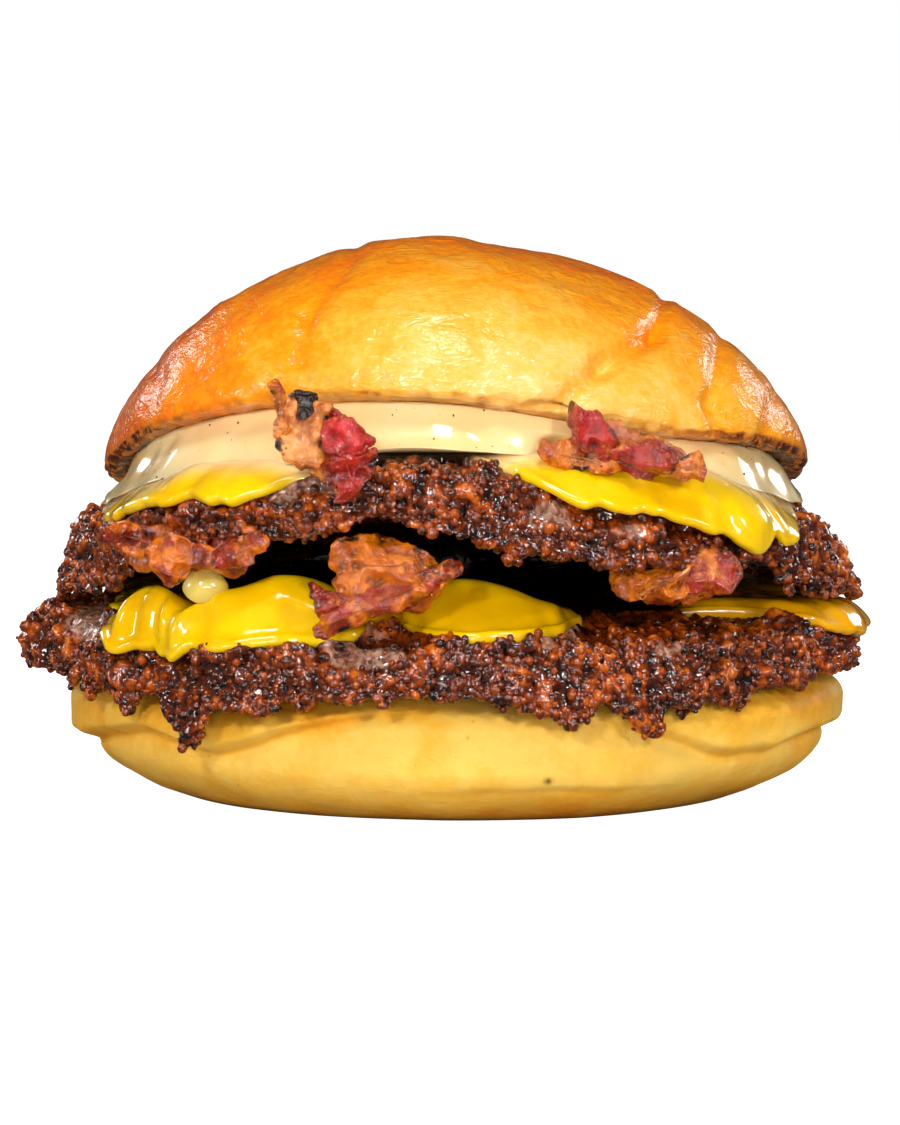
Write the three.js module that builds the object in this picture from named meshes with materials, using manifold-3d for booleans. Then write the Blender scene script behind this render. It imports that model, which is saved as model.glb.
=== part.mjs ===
// A double cheeseburger with bacon: heel, two smashed patties, two melted cheese slices, sauce, bacon
// and crown. Millimetres, +Z up. The origin is on the flat base, under the middle of the patties, and -Y is
// the front, where the stack gapes open.
import * as THREE from "three";
import { mergeVertices } from "three/addons/utils/BufferGeometryUtils.js";
import Module from "manifold-3d";

const wasm = await Module();
wasm.setup();

// Driving sizes
const BUN_X = 2; // both halves of the bun sit this far right of the patties' middle
const HEEL_RADIUS = 54.3;
const HEEL_HEIGHT = 18.5;
const CROWN_RADIUS = 50;
const CROWN_RISE = 29.4; // height of the dome above its widest line
const CROWN_LEVEL = 47; // height of the dome's widest line under its top
const CUT_LEVEL = 41.3; // height of the crown's cut face at the back
const CUT_SLOPE = 0.252; // its rise towards the open front, for each millimetre
const PATTY_HALF = 3.7; // half of a smashed patty's thickness
const LOWER_PATTY_Z = 22.6;
const UPPER_PATTY_Z = 33;
const UPPER_PATTY_SLOPE = 0.19; // its rise towards the open front, for each millimetre
const CHEESE_THICK = 1.9;
const HINGE_Y = 20; // behind this line the upper layers lie level, in front of it they rise
const HINGE_SOFT = 12; // how gently they start to
const GAP = 0.35; // clearance where a piece is cut by its neighbour
const LAY = 0.6; // clearance where one layer lies on the next
const LAYER_COLUMNS = 70; // patties and slices share their columns, so that their facets nest
const BUN_COLUMNS = 60;
const CROWN_COLUMNS = 56;
const SAUCE_COLUMNS = 48;

// Angles are in degrees about +Z: 0 is right, 90 back, 180 left and 270 front.
const RADIAN = Math.PI / 180;

// Smooth step from 0 at `from` to 1 at `to`.
function smooth(from, to, x) {
  const t = Math.min(1, Math.max(0, (x - from) / (to - from)));
  return t * t * (3 - 2 * t);
}

// A round hump in angle: 1 at `centre`, falling away over `width` degrees.
function hump(angle, centre, width) {
  const away = ((((angle - centre) % 360) + 540) % 360) - 180;
  return Math.exp(-((away / width) ** 2));
}

// A smooth closed curve through [angle, value] keys, in order of angle: Hermite spans whose slopes come
// from the keys on both sides.
function ring(keys) {
  const count = keys.length;
  const at = (i) => {
    const turn = Math.floor(i / count);
    const [angle, value] = keys[i - turn * count];
    return [angle + 360 * turn, value];
  };
  return (angle) => {
    const a = ((angle % 360) + 360) % 360;
    let i = -1;
    while (at(i + 1)[0] <= a) i += 1;
    const [[a0, v0], [a1, v1], [a2, v2], [a3, v3]] = [at(i - 1), at(i), at(i + 1), at(i + 2)];
    const span = a2 - a1;
    const t = (a - a1) / span;
    const slope1 = ((v2 - v0) / (a2 - a0)) * span;
    const slope2 = ((v3 - v1) / (a3 - a1)) * span;
    const t2 = t * t;
    const t3 = t2 * t;
    const values = (2 * t3 - 3 * t2 + 1) * v1 + (3 * t2 - 2 * t3) * v2;
    return values + (t3 - 2 * t2 + t) * slope1 + (t3 - t2) * slope2;
  };
}

// Crags of seared meat: a sum of three-way sine ridges, from -1 to 1, about 5 mm apart.
function crag(x, y, z) {
  const a = Math.sin(1.1 * x + 0.7 * z) * Math.sin(1.25 * y - 0.4 * z + 1.3);
  const b = Math.sin(0.83 * x - 0.91 * y + 2.1) * Math.cos(1.05 * z + 0.62 * x);
  return 0.55 * a + 0.45 * b;
}

// A closed skin: `place(angle, step)` for every angle and every profile step. The first and last steps are
// poles, and the profile runs from the top pole over the rim to the bottom pole.
function skin(columns, steps, place) {
  const points = [];
  const faces = [];
  const last = steps.length - 1;
  points.push(...place(0, steps[0]));
  for (let j = 1; j < last; j += 1)
    for (let i = 0; i < columns; i += 1) points.push(...place((360 * i) / columns, steps[j]));
  points.push(...place(0, steps[last]));
  const bottom = 1 + (last - 1) * columns;
  const vertex = (j, i) => 1 + (j - 1) * columns + (i % columns);
  for (let i = 0; i < columns; i += 1) {
    faces.push(0, vertex(1, i), vertex(1, i + 1));
    faces.push(bottom, vertex(last - 1, i + 1), vertex(last - 1, i));
    for (let j = 1; j < last - 1; j += 1) {
      faces.push(vertex(j, i), vertex(j + 1, i), vertex(j, i + 1));
      faces.push(vertex(j, i + 1), vertex(j + 1, i), vertex(j + 1, i + 1));
    }
  }
  const geometry = new THREE.BufferGeometry();
  geometry.setAttribute("position", new THREE.Float32BufferAttribute(points, 3));
  geometry.setIndex(faces);
  return geometry;
}

// Profile steps [share of the way out, height share] of a flat slab with a rounded edge.
function slabSteps(flats, arcs, edge) {
  const top = [];
  for (let i = 0; i < flats; i += 1) top.push([((1 - edge) * i) / (flats - 1), 1]);
  const rim = [];
  for (let i = 1; i < arcs; i += 1) {
    const turn = 90 - (180 * i) / arcs;
    rim.push([1 - edge + edge * Math.cos(turn * RADIAN), Math.sin(turn * RADIAN)]);
  }
  const under = top.map(([out]) => [out, -1]).reverse();
  return [...top, ...rim, ...under];
}

// Turns a geometry into a solid, and back.
function solid(geometry) {
  const bare = new THREE.BufferGeometry();
  bare.setAttribute("position", geometry.getAttribute("position"));
  bare.setIndex(geometry.index);
  const merged = mergeVertices(bare, 1e-4);
  return new wasm.Manifold(
    new wasm.Mesh({
      numProp: 3,
      vertProperties: merged.attributes.position.array,
      triVerts: new Uint32Array(merged.index.array),
    }),
  );
}

function surface(body) {
  const { numProp, vertProperties, triVerts, numVert } = body.getMesh();
  const points = new Float32Array(numVert * 3);
  for (let i = 0; i < numVert; i += 1) {
    const start = i * numProp;
    points.set(vertProperties.subarray(start, start + 3), i * 3);
  }
  const geometry = new THREE.BufferGeometry();
  geometry.setAttribute("position", new THREE.BufferAttribute(points, 3));
  geometry.setIndex(new THREE.BufferAttribute(new Uint32Array(triVerts), 1));
  return geometry;
}

// The same closed skin moved outwards along its normals, to cut a neighbour with a clear gap.
function grown(geometry, distance) {
  const copy = geometry.clone();
  copy.computeVertexNormals();
  const position = copy.getAttribute("position");
  const normal = copy.getAttribute("normal");
  for (let i = 0; i < position.count; i += 1)
    position.setXYZ(
      i,
      position.getX(i) + distance * normal.getX(i),
      position.getY(i) + distance * normal.getY(i),
      position.getZ(i) + distance * normal.getZ(i),
    );
  return solid(copy);
}

// Cuts the grown neighbours out of a piece and keeps its largest body.
function fitted(geometry, neighbours) {
  let body = solid(geometry);
  for (const neighbour of neighbours) body = body.subtract(grown(neighbour, GAP));
  const bodies = body.decompose().sort((a, b) => b.volume() - a.volume());
  return surface(bodies[0]);
}

// Heel of the bun: a squashed roll with a pleat round its side, an upper lip over it and a flat base.
const pleatZ = ring([
  [0, 9], [45, 10], [90, 8.5], [135, 9.8], [180, 7.4], [217, 11.2], [229, 9.4], [236, 10.3],
  [246, 13], [258, 15.4], [272, 16], [290, 14.6], [301, 12.6], [312, 9.2], [323, 8.3], [333, 9.6],
]);
const pleatDepth = ring([
  [0, 2], [60, 1.5], [120, 1.9], [180, 2.5], [230, 2.4], [246, 1.7], [260, 1], [270, 0.2],
  [292, 0.1], [301, 0.9], [314, 1.9], [335, 2.1],
]);
const HEEL_BASE_ROUND = 8; // the base's edge rounds off below this height
const HEEL_BASE_TUCK = 11; // and comes in by this much
const HEEL_TOP_ROUND = 5.5;
const HEEL_TOP_TUCK = 8;
const PLEAT_HALF = 1.1;
const PLEAT_STEP = 1.3; // the side under the pleat stands back by this share of the pleat's depth

function heelRadius(angle, z) {
  const side = HEEL_RADIUS + 0.7 * Math.cos(2 * angle * RADIAN) + 0.4 * Math.sin(5 * angle * RADIAN);
  const under = HEEL_BASE_TUCK * Math.max(0, 1 - z / HEEL_BASE_ROUND) ** 2;
  const over = HEEL_TOP_TUCK * Math.max(0, 1 - (HEEL_HEIGHT - z) / HEEL_TOP_ROUND) ** 2;
  const fromPleat = z - pleatZ(angle);
  const groove = pleatDepth(angle) * Math.exp(-((fromPleat / PLEAT_HALF) ** 2));
  const belowLip = PLEAT_STEP * pleatDepth(angle) * smooth(0.4, -1.2, fromPleat);
  return side - under - over - groove - belowLip;
}

function heel() {
  const BELOW = [0, 0.16, 0.38, 0.62, 0.84, 1];
  const ABOVE = [0.14, 0.34, 0.58, 0.8, 1];
  const levels = [...BELOW.map((t) => [0, t]), ...ABOVE.map((t) => [1, t])].reverse();
  return skin(BUN_COLUMNS, ["top", ...levels, "base"], (angle, step) => {
    if (step === "top") return [BUN_X, 0, HEEL_HEIGHT];
    if (step === "base") return [BUN_X, 0, 0];
    const [above, share] = step;
    const pleat = pleatZ(angle);
    const z = above ? pleat + (HEEL_HEIGHT - pleat) * share : pleat * share;
    const radius = heelRadius(angle, z);
    return [BUN_X + radius * Math.cos(angle * RADIAN), radius * Math.sin(angle * RADIAN), z];
  });
}

// A smashed patty: a thin disc with a lobed, crusted edge. `level` gives its middle height at a place,
// `droop` how far its rim hangs below that, `fat` adds to its half thickness, and `dangle` draws crusty lobes
// of the rim down over the heel.
const lowerPatty = {
  x: 0,
  reach: ring([
    [0, 60.6], [14, 57.4], [40, 58.5], [70, 56.5], [95, 58.5], [125, 56.5], [150, 59],
    [168, 58.2], [183, 61.4], [200, 57.5], [214, 58], [226, 56], [238, 60], [252, 57.2],
    [278, 58.4], [300, 59.6], [318, 57.2], [340, 58.4],
  ]),
  level: () => LOWER_PATTY_Z,
  droop: ring([
    [0, 1.6], [45, 2.2], [90, 1.4], [135, 2.4], [170, 0.4], [186, 0], [203, 2.2], [216, 4.6],
    [226, 2.4], [238, 5.6], [247, 2.2], [268, 1.9], [288, 3.2], [302, 3.4], [322, 2.4], [342, 1.4],
  ]),
  fat: (angle) => 1.2 * hump(angle, 184, 16) + 0.7 * hump(angle, 300, 30),
  dangle: (angle) => {
    const left = 6.4 * hump(angle, 233, 7) + 2.4 * hump(angle, 219, 4);
    return left + 2 * hump(angle, 285, 5) + 2.4 * hump(angle, 300, 6);
  },
};
const upperPatty = {
  x: 1.8,
  reach: ring([
    [0, 58.2], [20, 56], [50, 57.5], [80, 55.5], [110, 57.5], [140, 55.5], [165, 57], [182, 57.8],
    [200, 55], [222, 57.5], [245, 56], [262, 57.4], [280, 56.2], [297, 57.6], [318, 57], [336, 55.8],
  ]),
  level: (y) => UPPER_PATTY_Z + UPPER_PATTY_SLOPE * frontRise(y),
  droop: ring([
    [0, 7.4], [30, 2.8], [60, 0.6], [90, 0], [125, 0.8], [160, 3], [180, 5], [196, 4.4],
    [214, 2.4], [228, 0.8], [246, -0.2], [264, -0.6], [278, 1], [292, 4.6], [306, 6.2], [320, 6.4],
    [340, 7.8],
  ]),
  fat: () => 0,
  dangle: () => 0,
};

// Distance in front of the hinge line, eased so that it has no kink.
function frontRise(y) {
  const ahead = HINGE_Y - y;
  return (ahead + Math.hypot(ahead, HINGE_SOFT)) / 2;
}

// The patty's smooth outer skin at `out` mm from its middle, `lift` mm off it. Past the flat it follows the
// round rim, and past the rim's equator it hangs straight down. The rim's droop starts at DROOP_FROM of the
// reach and is whole at DROOP_TO.
const DROOP_FROM = 0.78;
const DROOP_TO = 1.02;

function onPatty(patty, angle, out, lift, side = 1) {
  const reach = patty.reach(angle);
  const half = PATTY_HALF + patty.fat(angle);
  const flat = reach - half;
  const beyond = Math.max(0, out - flat);
  const turn = Math.min(beyond / half, Math.PI / 2);
  const hang = Math.max(0, beyond - (half * Math.PI) / 2);
  const thick = PATTY_HALF + patty.fat(angle) * smooth(DROOP_FROM, 0.95, out / reach);
  const radius = Math.min(out, flat) + (half + lift) * Math.sin(turn);
  const x = patty.x + radius * Math.cos(angle * RADIAN);
  const y = radius * Math.sin(angle * RADIAN);
  const drop = patty.droop(angle) * smooth(DROOP_FROM, DROOP_TO, radius / reach);
  return [x, y, patty.level(y) - drop + side * ((thick + lift) * Math.cos(turn) - hang)];
}

// The cragged solid. Crags only cut into the smooth skin, so what lies on it stays clear.
function patty(shape) {
  const FLAT = [0, 0.5, 0.74, 0.88, 1];
  const TURNS = [28, 58, 90, 122, 152];
  const CRAG_DEPTH = 0.9;
  const FRILL_DEPTH = 0.8;
  const top = FLAT.map((t) => [t, 0]);
  const rim = TURNS.map((t) => [1, t]);
  const under = FLAT.map((t) => [t, 180]).reverse();
  const steps = [...top, ...rim, ...under];
  return skin(LAYER_COLUMNS, steps, (angle, [share, turn]) => {
    const half = PATTY_HALF + shape.fat(angle);
    const flat = shape.reach(angle) - half;
    const side = turn > 90 ? -1 : 1;
    const arc = (side > 0 ? turn : 180 - turn) * RADIAN;
    const [x, y, z] = onPatty(shape, angle, flat * share + half * arc, 0, side);
    const rough = CRAG_DEPTH * smooth(0.5, 0.9, share) * (0.5 + 0.5 * crag(x, y, z));
    const frill = Math.sin(23 * angle * RADIAN + 2 * Math.sin(5 * angle * RADIAN));
    const inward = (rough + FRILL_DEPTH * Math.max(0, frill)) * Math.sin(arc);
    const hanging = shape.dangle(angle) * smooth(45, 100, turn) * smooth(181, 150, turn);
    return [
      x - inward * Math.cos(angle * RADIAN),
      y - inward * Math.sin(angle * RADIAN),
      z - side * rough * Math.cos(arc) - hanging,
    ];
  });
}

// A melted slice: a thin sheet that follows the patty under it, with a rounded edge. `reach` is the distance
// along the meat from the patty's middle to the slice's edge, and `pulled` raises its upper face.
const lowerSlice = {
  on: lowerPatty,
  reach: ring([
    [0, 60.5], [14, 54], [35, 51], [50, 60], [70, 52], [95, 49], [118, 54], [135, 61], [155, 50],
    [180, 46], [205, 50], [214, 56.5], [226, 56.5], [238, 57], [246, 54], [254, 52.5], [262, 43],
    [270, 50], [279, 52.5], [291, 50], [300, 46], [316, 44], [330, 46], [343, 59], [350, 61.4],
    [355, 61],
  ]),
  pulled: (x, y) => 4.6 * Math.exp(-((x + 33) ** 2 + (y + 42.5) ** 2) / 50),
};
const upperSlice = {
  on: upperPatty,
  reach: ring([
    [0, 47], [25, 49], [42, 56], [52, 60], [64, 54], [90, 48], [120, 50], [143, 54], [156, 60.5],
    [166, 56], [180, 50], [205, 53], [220, 58], [236, 58.5], [246, 54], [254, 48], [264, 44],
    [273, 46.5], [281, 55.5], [288, 60], [300, 62], [309, 62.5], [315, 66], [320, 61.5], [325, 62.5],
    [333, 56], [350, 47],
  ]),
  pulled: () => 0,
};

function slice(shape) {
  const LEVEL = [0, 0.74, 1]; // shares of the way to where the meat's rim starts
  const OVER = [0.5, 1]; // shares of the way from there to the slice's edge
  const EDGE = [50, 90];
  const LEAST_OVER = 1.6;
  const round = CHEESE_THICK / 2;
  const rings = [...LEVEL.map((t) => [t, 0]), ...OVER.map((t) => [1, t])];
  const top = [...rings.map((ring) => [...ring, 90]), ...EDGE.map((t) => [1, 1, 90 - t])];
  const steps = [...top, ...rings.map((ring) => [...ring, -90]).reverse()];
  return skin(LAYER_COLUMNS, steps, (angle, [level, over, turn]) => {
    const edge = shape.reach(angle) - round;
    const rim = Math.min(shape.on.reach(angle) - PATTY_HALF - shape.on.fat(angle), edge - LEAST_OVER);
    const out = rim * level + (edge - rim) * over + round * Math.cos(turn * RADIAN);
    const [x, y] = onPatty(shape.on, angle, out, LAY);
    const pull = turn > 0 ? shape.pulled(x, y) : 0;
    return onPatty(shape.on, angle, out, LAY + round * (1 + Math.sin(turn * RADIAN)) + pull);
  });
}

// Height of the crown's cut face. It lies level at the back and rises to the open front, less at the front
// right.
function cutHeight(x, y) {
  const out = Math.hypot(x - BUN_X, y) / CROWN_RADIUS;
  const angle = Math.atan2(y, x - BUN_X) / RADIAN;
  const sides = 2.2 * hump(angle, 0, 30) + 2.4 * hump(angle, 180, 30);
  const sag = sides + 3.8 * hump(angle, 304, 30);
  return CUT_LEVEL + CUT_SLOPE * frontRise(y) - sag * smooth(0.4, 1, out);
}

// Crown of the bun: a dome of shiny crust over a flat cut face, with a rounded rim and baked-in dents. Each
// dent is a valley on the front of the dome: its ends in x and z, its half width and its depth.
const DENTS = [
  { from: [14, 55], to: [29, 68], width: 2.2, depth: 0.9 },
  { from: [37.5, 52], to: [36.5, 65], width: 1.8, depth: 1.1 },
  { from: [-19.5, 61], to: [-12, 77], width: 1.8, depth: 0.8 },
  { from: [-41, 52], to: [-36, 64], width: 2, depth: 0.6 },
  { from: [44, 49], to: [46, 56], width: 1.8, depth: 0.7 },
];

function dentDepth(x, y, z) {
  const front = smooth(8, -12, y);
  return DENTS.reduce((sum, { from, to, width, depth }) => {
    const along = [to[0] - from[0], to[1] - from[1]];
    const length2 = along[0] ** 2 + along[1] ** 2;
    const share = ((x - from[0]) * along[0] + (z - from[1]) * along[1]) / length2;
    const t = Math.min(1, Math.max(0, share));
    const away = Math.hypot(x - from[0] - t * along[0], z - from[1] - t * along[1]);
    return sum + depth * front * Math.exp(-((away / width) ** 2));
  }, 0);
}

function crown() {
  const RISES = [90, 76, 63, 51, 40, 31, 23, 16, 9, 3];
  const LIP = 2.6; // radius of the rounded rim, under the widest line
  const UNDER = [10, 50, 90];
  const steps = [
    ...RISES.map((t) => ["dome", t]),
    ...UNDER.map((t) => ["lip", t]),
    ["face", 0.6],
    ["face", 0.3],
    ["face", 0],
  ];
  return skin(CROWN_COLUMNS, steps, (angle, [part, value]) => {
    const rimX = BUN_X + CROWN_RADIUS * Math.cos(angle * RADIAN);
    const rimY = CROWN_RADIUS * Math.sin(angle * RADIAN);
    const rim = cutHeight(rimX, rimY) + LIP;
    if (part === "dome") {
      const slim = 0.125 + 0.015 * Math.cos(angle * RADIAN); // the dome leans in, a little more at the right
      const out = Math.cos(value * RADIAN) * (1 - slim * Math.sin(value * RADIAN));
      const x = BUN_X + CROWN_RADIUS * out * Math.cos(angle * RADIAN);
      const y = CROWN_RADIUS * out * Math.sin(angle * RADIAN);
      const z = CROWN_LEVEL + (rim - CROWN_LEVEL) * out + CROWN_RISE * Math.sin(value * RADIAN);
      const inward = dentDepth(x, y, z);
      return [
        x - inward * out * Math.cos(angle * RADIAN),
        y - inward * out * Math.sin(angle * RADIAN),
        z - inward * Math.sin(value * RADIAN) * 0.7,
      ];
    }
    const tuck = (LIP / CROWN_RADIUS) * (1 - Math.cos(value * RADIAN));
    const share = part === "lip" ? 1 - tuck : value;
    const x = BUN_X + CROWN_RADIUS * share * Math.cos(angle * RADIAN);
    const y = CROWN_RADIUS * share * Math.sin(angle * RADIAN);
    const z = part === "lip" ? rim - LIP * Math.sin(value * RADIAN) : cutHeight(x, y);
    return [x, y, z];
  });
}

// The sauce fills the wedge between the cheese and the crown, and bulges a little past the crown in front.
const sauceReach = ring([
  [0, 46.5], [40, 45], [90, 46], [140, 45], [180, 47.5], [205, 48.3], [235, 47.4], [270, 47.6],
  [300, 47.6], [335, 48],
]);

function sauce() {
  const BULGE = 1.6;
  const FLARE = 1.2; // the sauce spreads by this much from its middle height to its lower edge
  const FLAT = [0, 0.4, 0.75];
  const WALL = [0, 0.15, 0.5, 0.8, 1];
  const steps = [
    ...FLAT.map((t) => ["top", t]),
    ...WALL.map((t) => ["wall", t]),
    ...FLAT.map((t) => ["under", t]).reverse(),
  ];
  return skin(SAUCE_COLUMNS, steps, (angle, [part, value]) => {
    const share = part === "wall" ? 1 : value;
    const slope = { top: 0, wall: value, under: 1 }[part];
    const bulge = part === "wall" ? BULGE * Math.sin(Math.PI * slope) : 0;
    const radius = (sauceReach(angle) + FLARE * (2 * slope - 1)) * share + bulge;
    const x = BUN_X + radius * Math.cos(angle * RADIAN);
    const y = radius * Math.sin(angle * RADIAN);
    const high = cutHeight(x, y) - LAY;
    const thin = 0.4 * (1 - slope);
    const fromPatty = Math.hypot(x - upperPatty.x, y);
    const pattyAngle = Math.atan2(y, x - upperPatty.x) / RADIAN;
    const low = onPatty(upperPatty, pattyAngle, fromPatty, 3 * LAY + CHEESE_THICK)[2];
    return [x, y, Math.max(low + thin, high + (low - high) * slope)];
  });
}

// Bacon: crumpled scraps of rasher. `outline` holds eight radii in mm, every 45 degrees from the scrap's
// right end, `lean` tips its top edge back and `swing` turns it about +Z, both in degrees, and `curl` is the
// height of its waves.
const RASHER_HALF = 1.25;
const SCRAPS = [
  {
    name: "bacon_upper_left", lean: 12, swing: -6, curl: 1.6,
    at: [-15, -53.5, 51.8], outline: [7.4, 7.4, 7.4, 11.6, 5.2, 5.4, 7, 9.6],
  },
  {
    name: "bacon_upper_right", lean: 24, swing: 14, curl: 1.4,
    at: [25, -48.6, 51.2], outline: [11.6, 5.4, 4.8, 9.4, 11.4, 5.4, 4.6, 7],
  },
  {
    name: "bacon_middle_left", lean: 40, swing: -26, curl: 1.8,
    at: [-34.4, -43, 36.6], outline: [14, 6, 3.6, 8.4, 14, 6, 6.2, 5.4],
  },
  {
    name: "bacon_middle", lean: 30, swing: -4, curl: 2.2,
    at: [-7.4, -51.6, 32.8], outline: [11.4, 9.4, 9, 9.2, 9.2, 10.8, 6.6, 8],
  },
  {
    name: "bacon_middle_right", lean: 34, swing: 24, curl: 1.6,
    at: [32, -43.5, 33.2], outline: [9.8, 7, 5.6, 6, 9.8, 6.6, 5, 7],
  },
  {
    name: "bacon_back_left", lean: 66, swing: 202, curl: 1.2,
    at: [-21, 51.5, 40.4], outline: [10.4, 6, 4.6, 6.6, 9.6, 6.4, 6.4, 7.6],
  },
  {
    name: "bacon_back_right", lean: 62, swing: 150, curl: 1.2,
    at: [30, 48, 40.8], outline: [9.6, 6, 4.6, 6, 10.4, 7.4, 5.6, 6.8],
  },
];

function rasher({ outline, at, lean, swing, curl }) {
  const radius = ring(outline.map((value, i) => [45 * i, value]));
  const steps = slabSteps(4, 2, 0.16);
  const turned = new THREE.Matrix4()
    .makeRotationZ(swing * RADIAN)
    .multiply(new THREE.Matrix4().makeRotationX(-lean * RADIAN));
  return skin(20, steps, (angle, [out, side]) => {
    const u = radius(angle) * out * Math.cos(angle * RADIAN);
    const v = radius(angle) * out * Math.sin(angle * RADIAN);
    const ripple = Math.sin(0.42 * u + 0.5 * v + at[0]) + 0.5 * Math.sin(0.55 * v - 0.2 * u + at[0]);
    const wave = curl * ripple;
    const point = new THREE.Vector3(u, -wave - side * RASHER_HALF, v).applyMatrix4(turned);
    return [at[0] + point.x, at[1] + point.y, at[2] + point.z];
  });
}

// A bead of soft onion that sits on the cheese where it is pulled up to the bacon.
function onion() {
  const AT = [-33.4, -47.4, 32.6];
  const HALF = [3.1, 2.3, 2.9];
  const steps = [90, 55, 20, -20, -55, -90];
  return skin(14, steps, (angle, rise) => [
    AT[0] + HALF[0] * Math.cos(rise * RADIAN) * Math.cos(angle * RADIAN),
    AT[1] + HALF[1] * Math.cos(rise * RADIAN) * Math.sin(angle * RADIAN),
    AT[2] + HALF[2] * Math.sin(rise * RADIAN),
  ]);
}

// Colours and finishes
function coated(colour, roughness) {
  return new THREE.MeshStandardMaterial({ color: new THREE.Color(...colour), roughness, metalness: 0 });
}
const crust = coated([0.87, 0.3, 0.02], 0.35);
const crumb = coated([0.92, 0.6, 0.16], 0.6);
const seared = coated([0.2, 0.05, 0.015], 0.3);
const melted = coated([0.95, 0.6, 0.01], 0.25);
const creamy = coated([0.93, 0.68, 0.3], 0.2);
const cured = coated([0.55, 0.12, 0.03], 0.35);
const pale = coated([0.8, 0.68, 0.4], 0.2);

// Assembly. The layers nest with a clearance of their own, and the scraps, bead and sauce are cut to fit.
const burger = new THREE.Group();
const laid = [];
function lay(name, geometry, material) {
  const mesh = new THREE.Mesh(geometry, material);
  mesh.name = name;
  burger.add(mesh);
  laid.push(geometry);
}

lay("heel", heel(), crumb);
lay("lower_patty", patty(lowerPatty), seared);
lay("lower_cheese", fitted(slice(lowerSlice), laid), melted);
lay("upper_patty", patty(upperPatty), seared);
lay("upper_cheese", fitted(slice(upperSlice), laid), melted);
lay("crown", crown(), crust);
for (const scrap of SCRAPS) lay(scrap.name, fitted(rasher(scrap), laid), cured);
lay("onion", fitted(onion(), laid), pale);
lay("sauce", fitted(sauce(), laid), creamy);

export default burger;
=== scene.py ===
"""The looks of a double cheeseburger with bacon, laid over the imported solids.

Shapes are worked out in millimetres and put into meshes in metres. Angles are in degrees about +Z: 0 is right,
90 back, 180 left and 270 front, and -Y is the open front of the stack.
"""
import math
from itertools import product

import bpy
import numpy as np
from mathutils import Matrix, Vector


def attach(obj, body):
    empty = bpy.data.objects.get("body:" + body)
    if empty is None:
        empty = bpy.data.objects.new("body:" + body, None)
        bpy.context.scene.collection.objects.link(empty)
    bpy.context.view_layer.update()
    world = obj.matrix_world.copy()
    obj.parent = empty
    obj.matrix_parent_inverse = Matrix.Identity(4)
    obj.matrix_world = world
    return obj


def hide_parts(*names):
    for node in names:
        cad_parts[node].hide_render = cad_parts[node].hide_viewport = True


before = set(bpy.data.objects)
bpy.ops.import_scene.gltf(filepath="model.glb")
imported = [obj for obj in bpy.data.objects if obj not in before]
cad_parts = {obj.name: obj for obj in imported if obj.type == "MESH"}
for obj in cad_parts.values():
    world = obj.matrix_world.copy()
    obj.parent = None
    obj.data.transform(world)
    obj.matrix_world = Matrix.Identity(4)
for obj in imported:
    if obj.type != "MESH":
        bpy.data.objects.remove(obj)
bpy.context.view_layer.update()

MM = 0.001

# Driving sizes, in millimetres, as in the solids
BUN_X = 2.0
HEEL_RADIUS = 54.3
HEEL_HEIGHT = 18.5
CROWN_RADIUS = 50.0
CROWN_RISE = 29.4
CROWN_LEVEL = 47.0
CUT_LEVEL = 41.3
CUT_SLOPE = 0.252
PATTY_HALF = 3.7
LOWER_PATTY_Z = 22.6
UPPER_PATTY_Z = 33.0
UPPER_PATTY_SLOPE = 0.19
CHEESE_THICK = 1.9
HINGE_Y = 20.0
HINGE_SOFT = 12.0
LAY = 0.6
DROOP_FROM = 0.78
DROOP_TO = 1.02

# Loose crumbs on each patty, flecks in the sauce, and where the flecks' random draws start
CRUMBS = 2600
FLECKS = 150
FLECK_SEED = 7

# The camera: a long lens, a little above the table
VIEW_TARGET = Vector((0.00107, 0.0, 0.0318))
VIEW_DISTANCE = 0.9
VIEW_ELEVATION = math.radians(5)
VIEW_LENS = 201.6


def smooth(low, high, value):
    """Smooth step: 0 at low, 1 at high, with level ends."""
    t = np.clip((value - low) / (high - low), 0, 1)
    return t * t * (3 - 2 * t)


def hump(angle, centre, width):
    """A bell over angle: 1 at centre, falling as exp(-(away / width)^2)."""
    away = np.mod(angle - centre + 180, 360) - 180
    return np.exp(-((away / width) ** 2))


def ring(*keys):
    """A closed curve of value over angle: cubic spans whose slopes come from the keys on both sides."""
    angles, values = np.array(keys, float).T
    angles = np.concatenate([angles[-2:] - 360, angles, angles[:3] + 360])
    values = np.concatenate([values[-2:], values, values[:3]])
    slopes = np.zeros_like(values)
    slopes[1:-1] = (values[2:] - values[:-2]) / (angles[2:] - angles[:-2])

    def curve(angle):
        a = np.mod(angle, 360)
        i = np.searchsorted(angles, a, side="right") - 1
        span = angles[i + 1] - angles[i]
        t = (a - angles[i]) / span
        low = (1 + 2 * t) * (1 - t) ** 2 * values[i] + t * (1 - t) ** 2 * span * slopes[i]
        high = t * t * (3 - 2 * t) * values[i + 1] - t * t * (1 - t) * span * slopes[i + 1]
        return low + high

    return curve


def hashed(cell, salt):
    """A fixed random number from 0 to 1 for each whole-number cell: its coordinates times large primes, mixed."""
    n = cell.astype(np.int64)
    h = n[..., 0] * 73856093 ^ n[..., 1] * 19349663 ^ n[..., 2] * 83492791 ^ (salt * 40503 + 9176)
    h = (h ^ (h >> 13)) * 1274126177 & 0xFFFFFFFF
    h = (h ^ (h >> 15)) * 668265263 & 0xFFFFFFFF
    return ((h ^ (h >> 14)) & 0xFFFFFF) / float(0x1000000)


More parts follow.
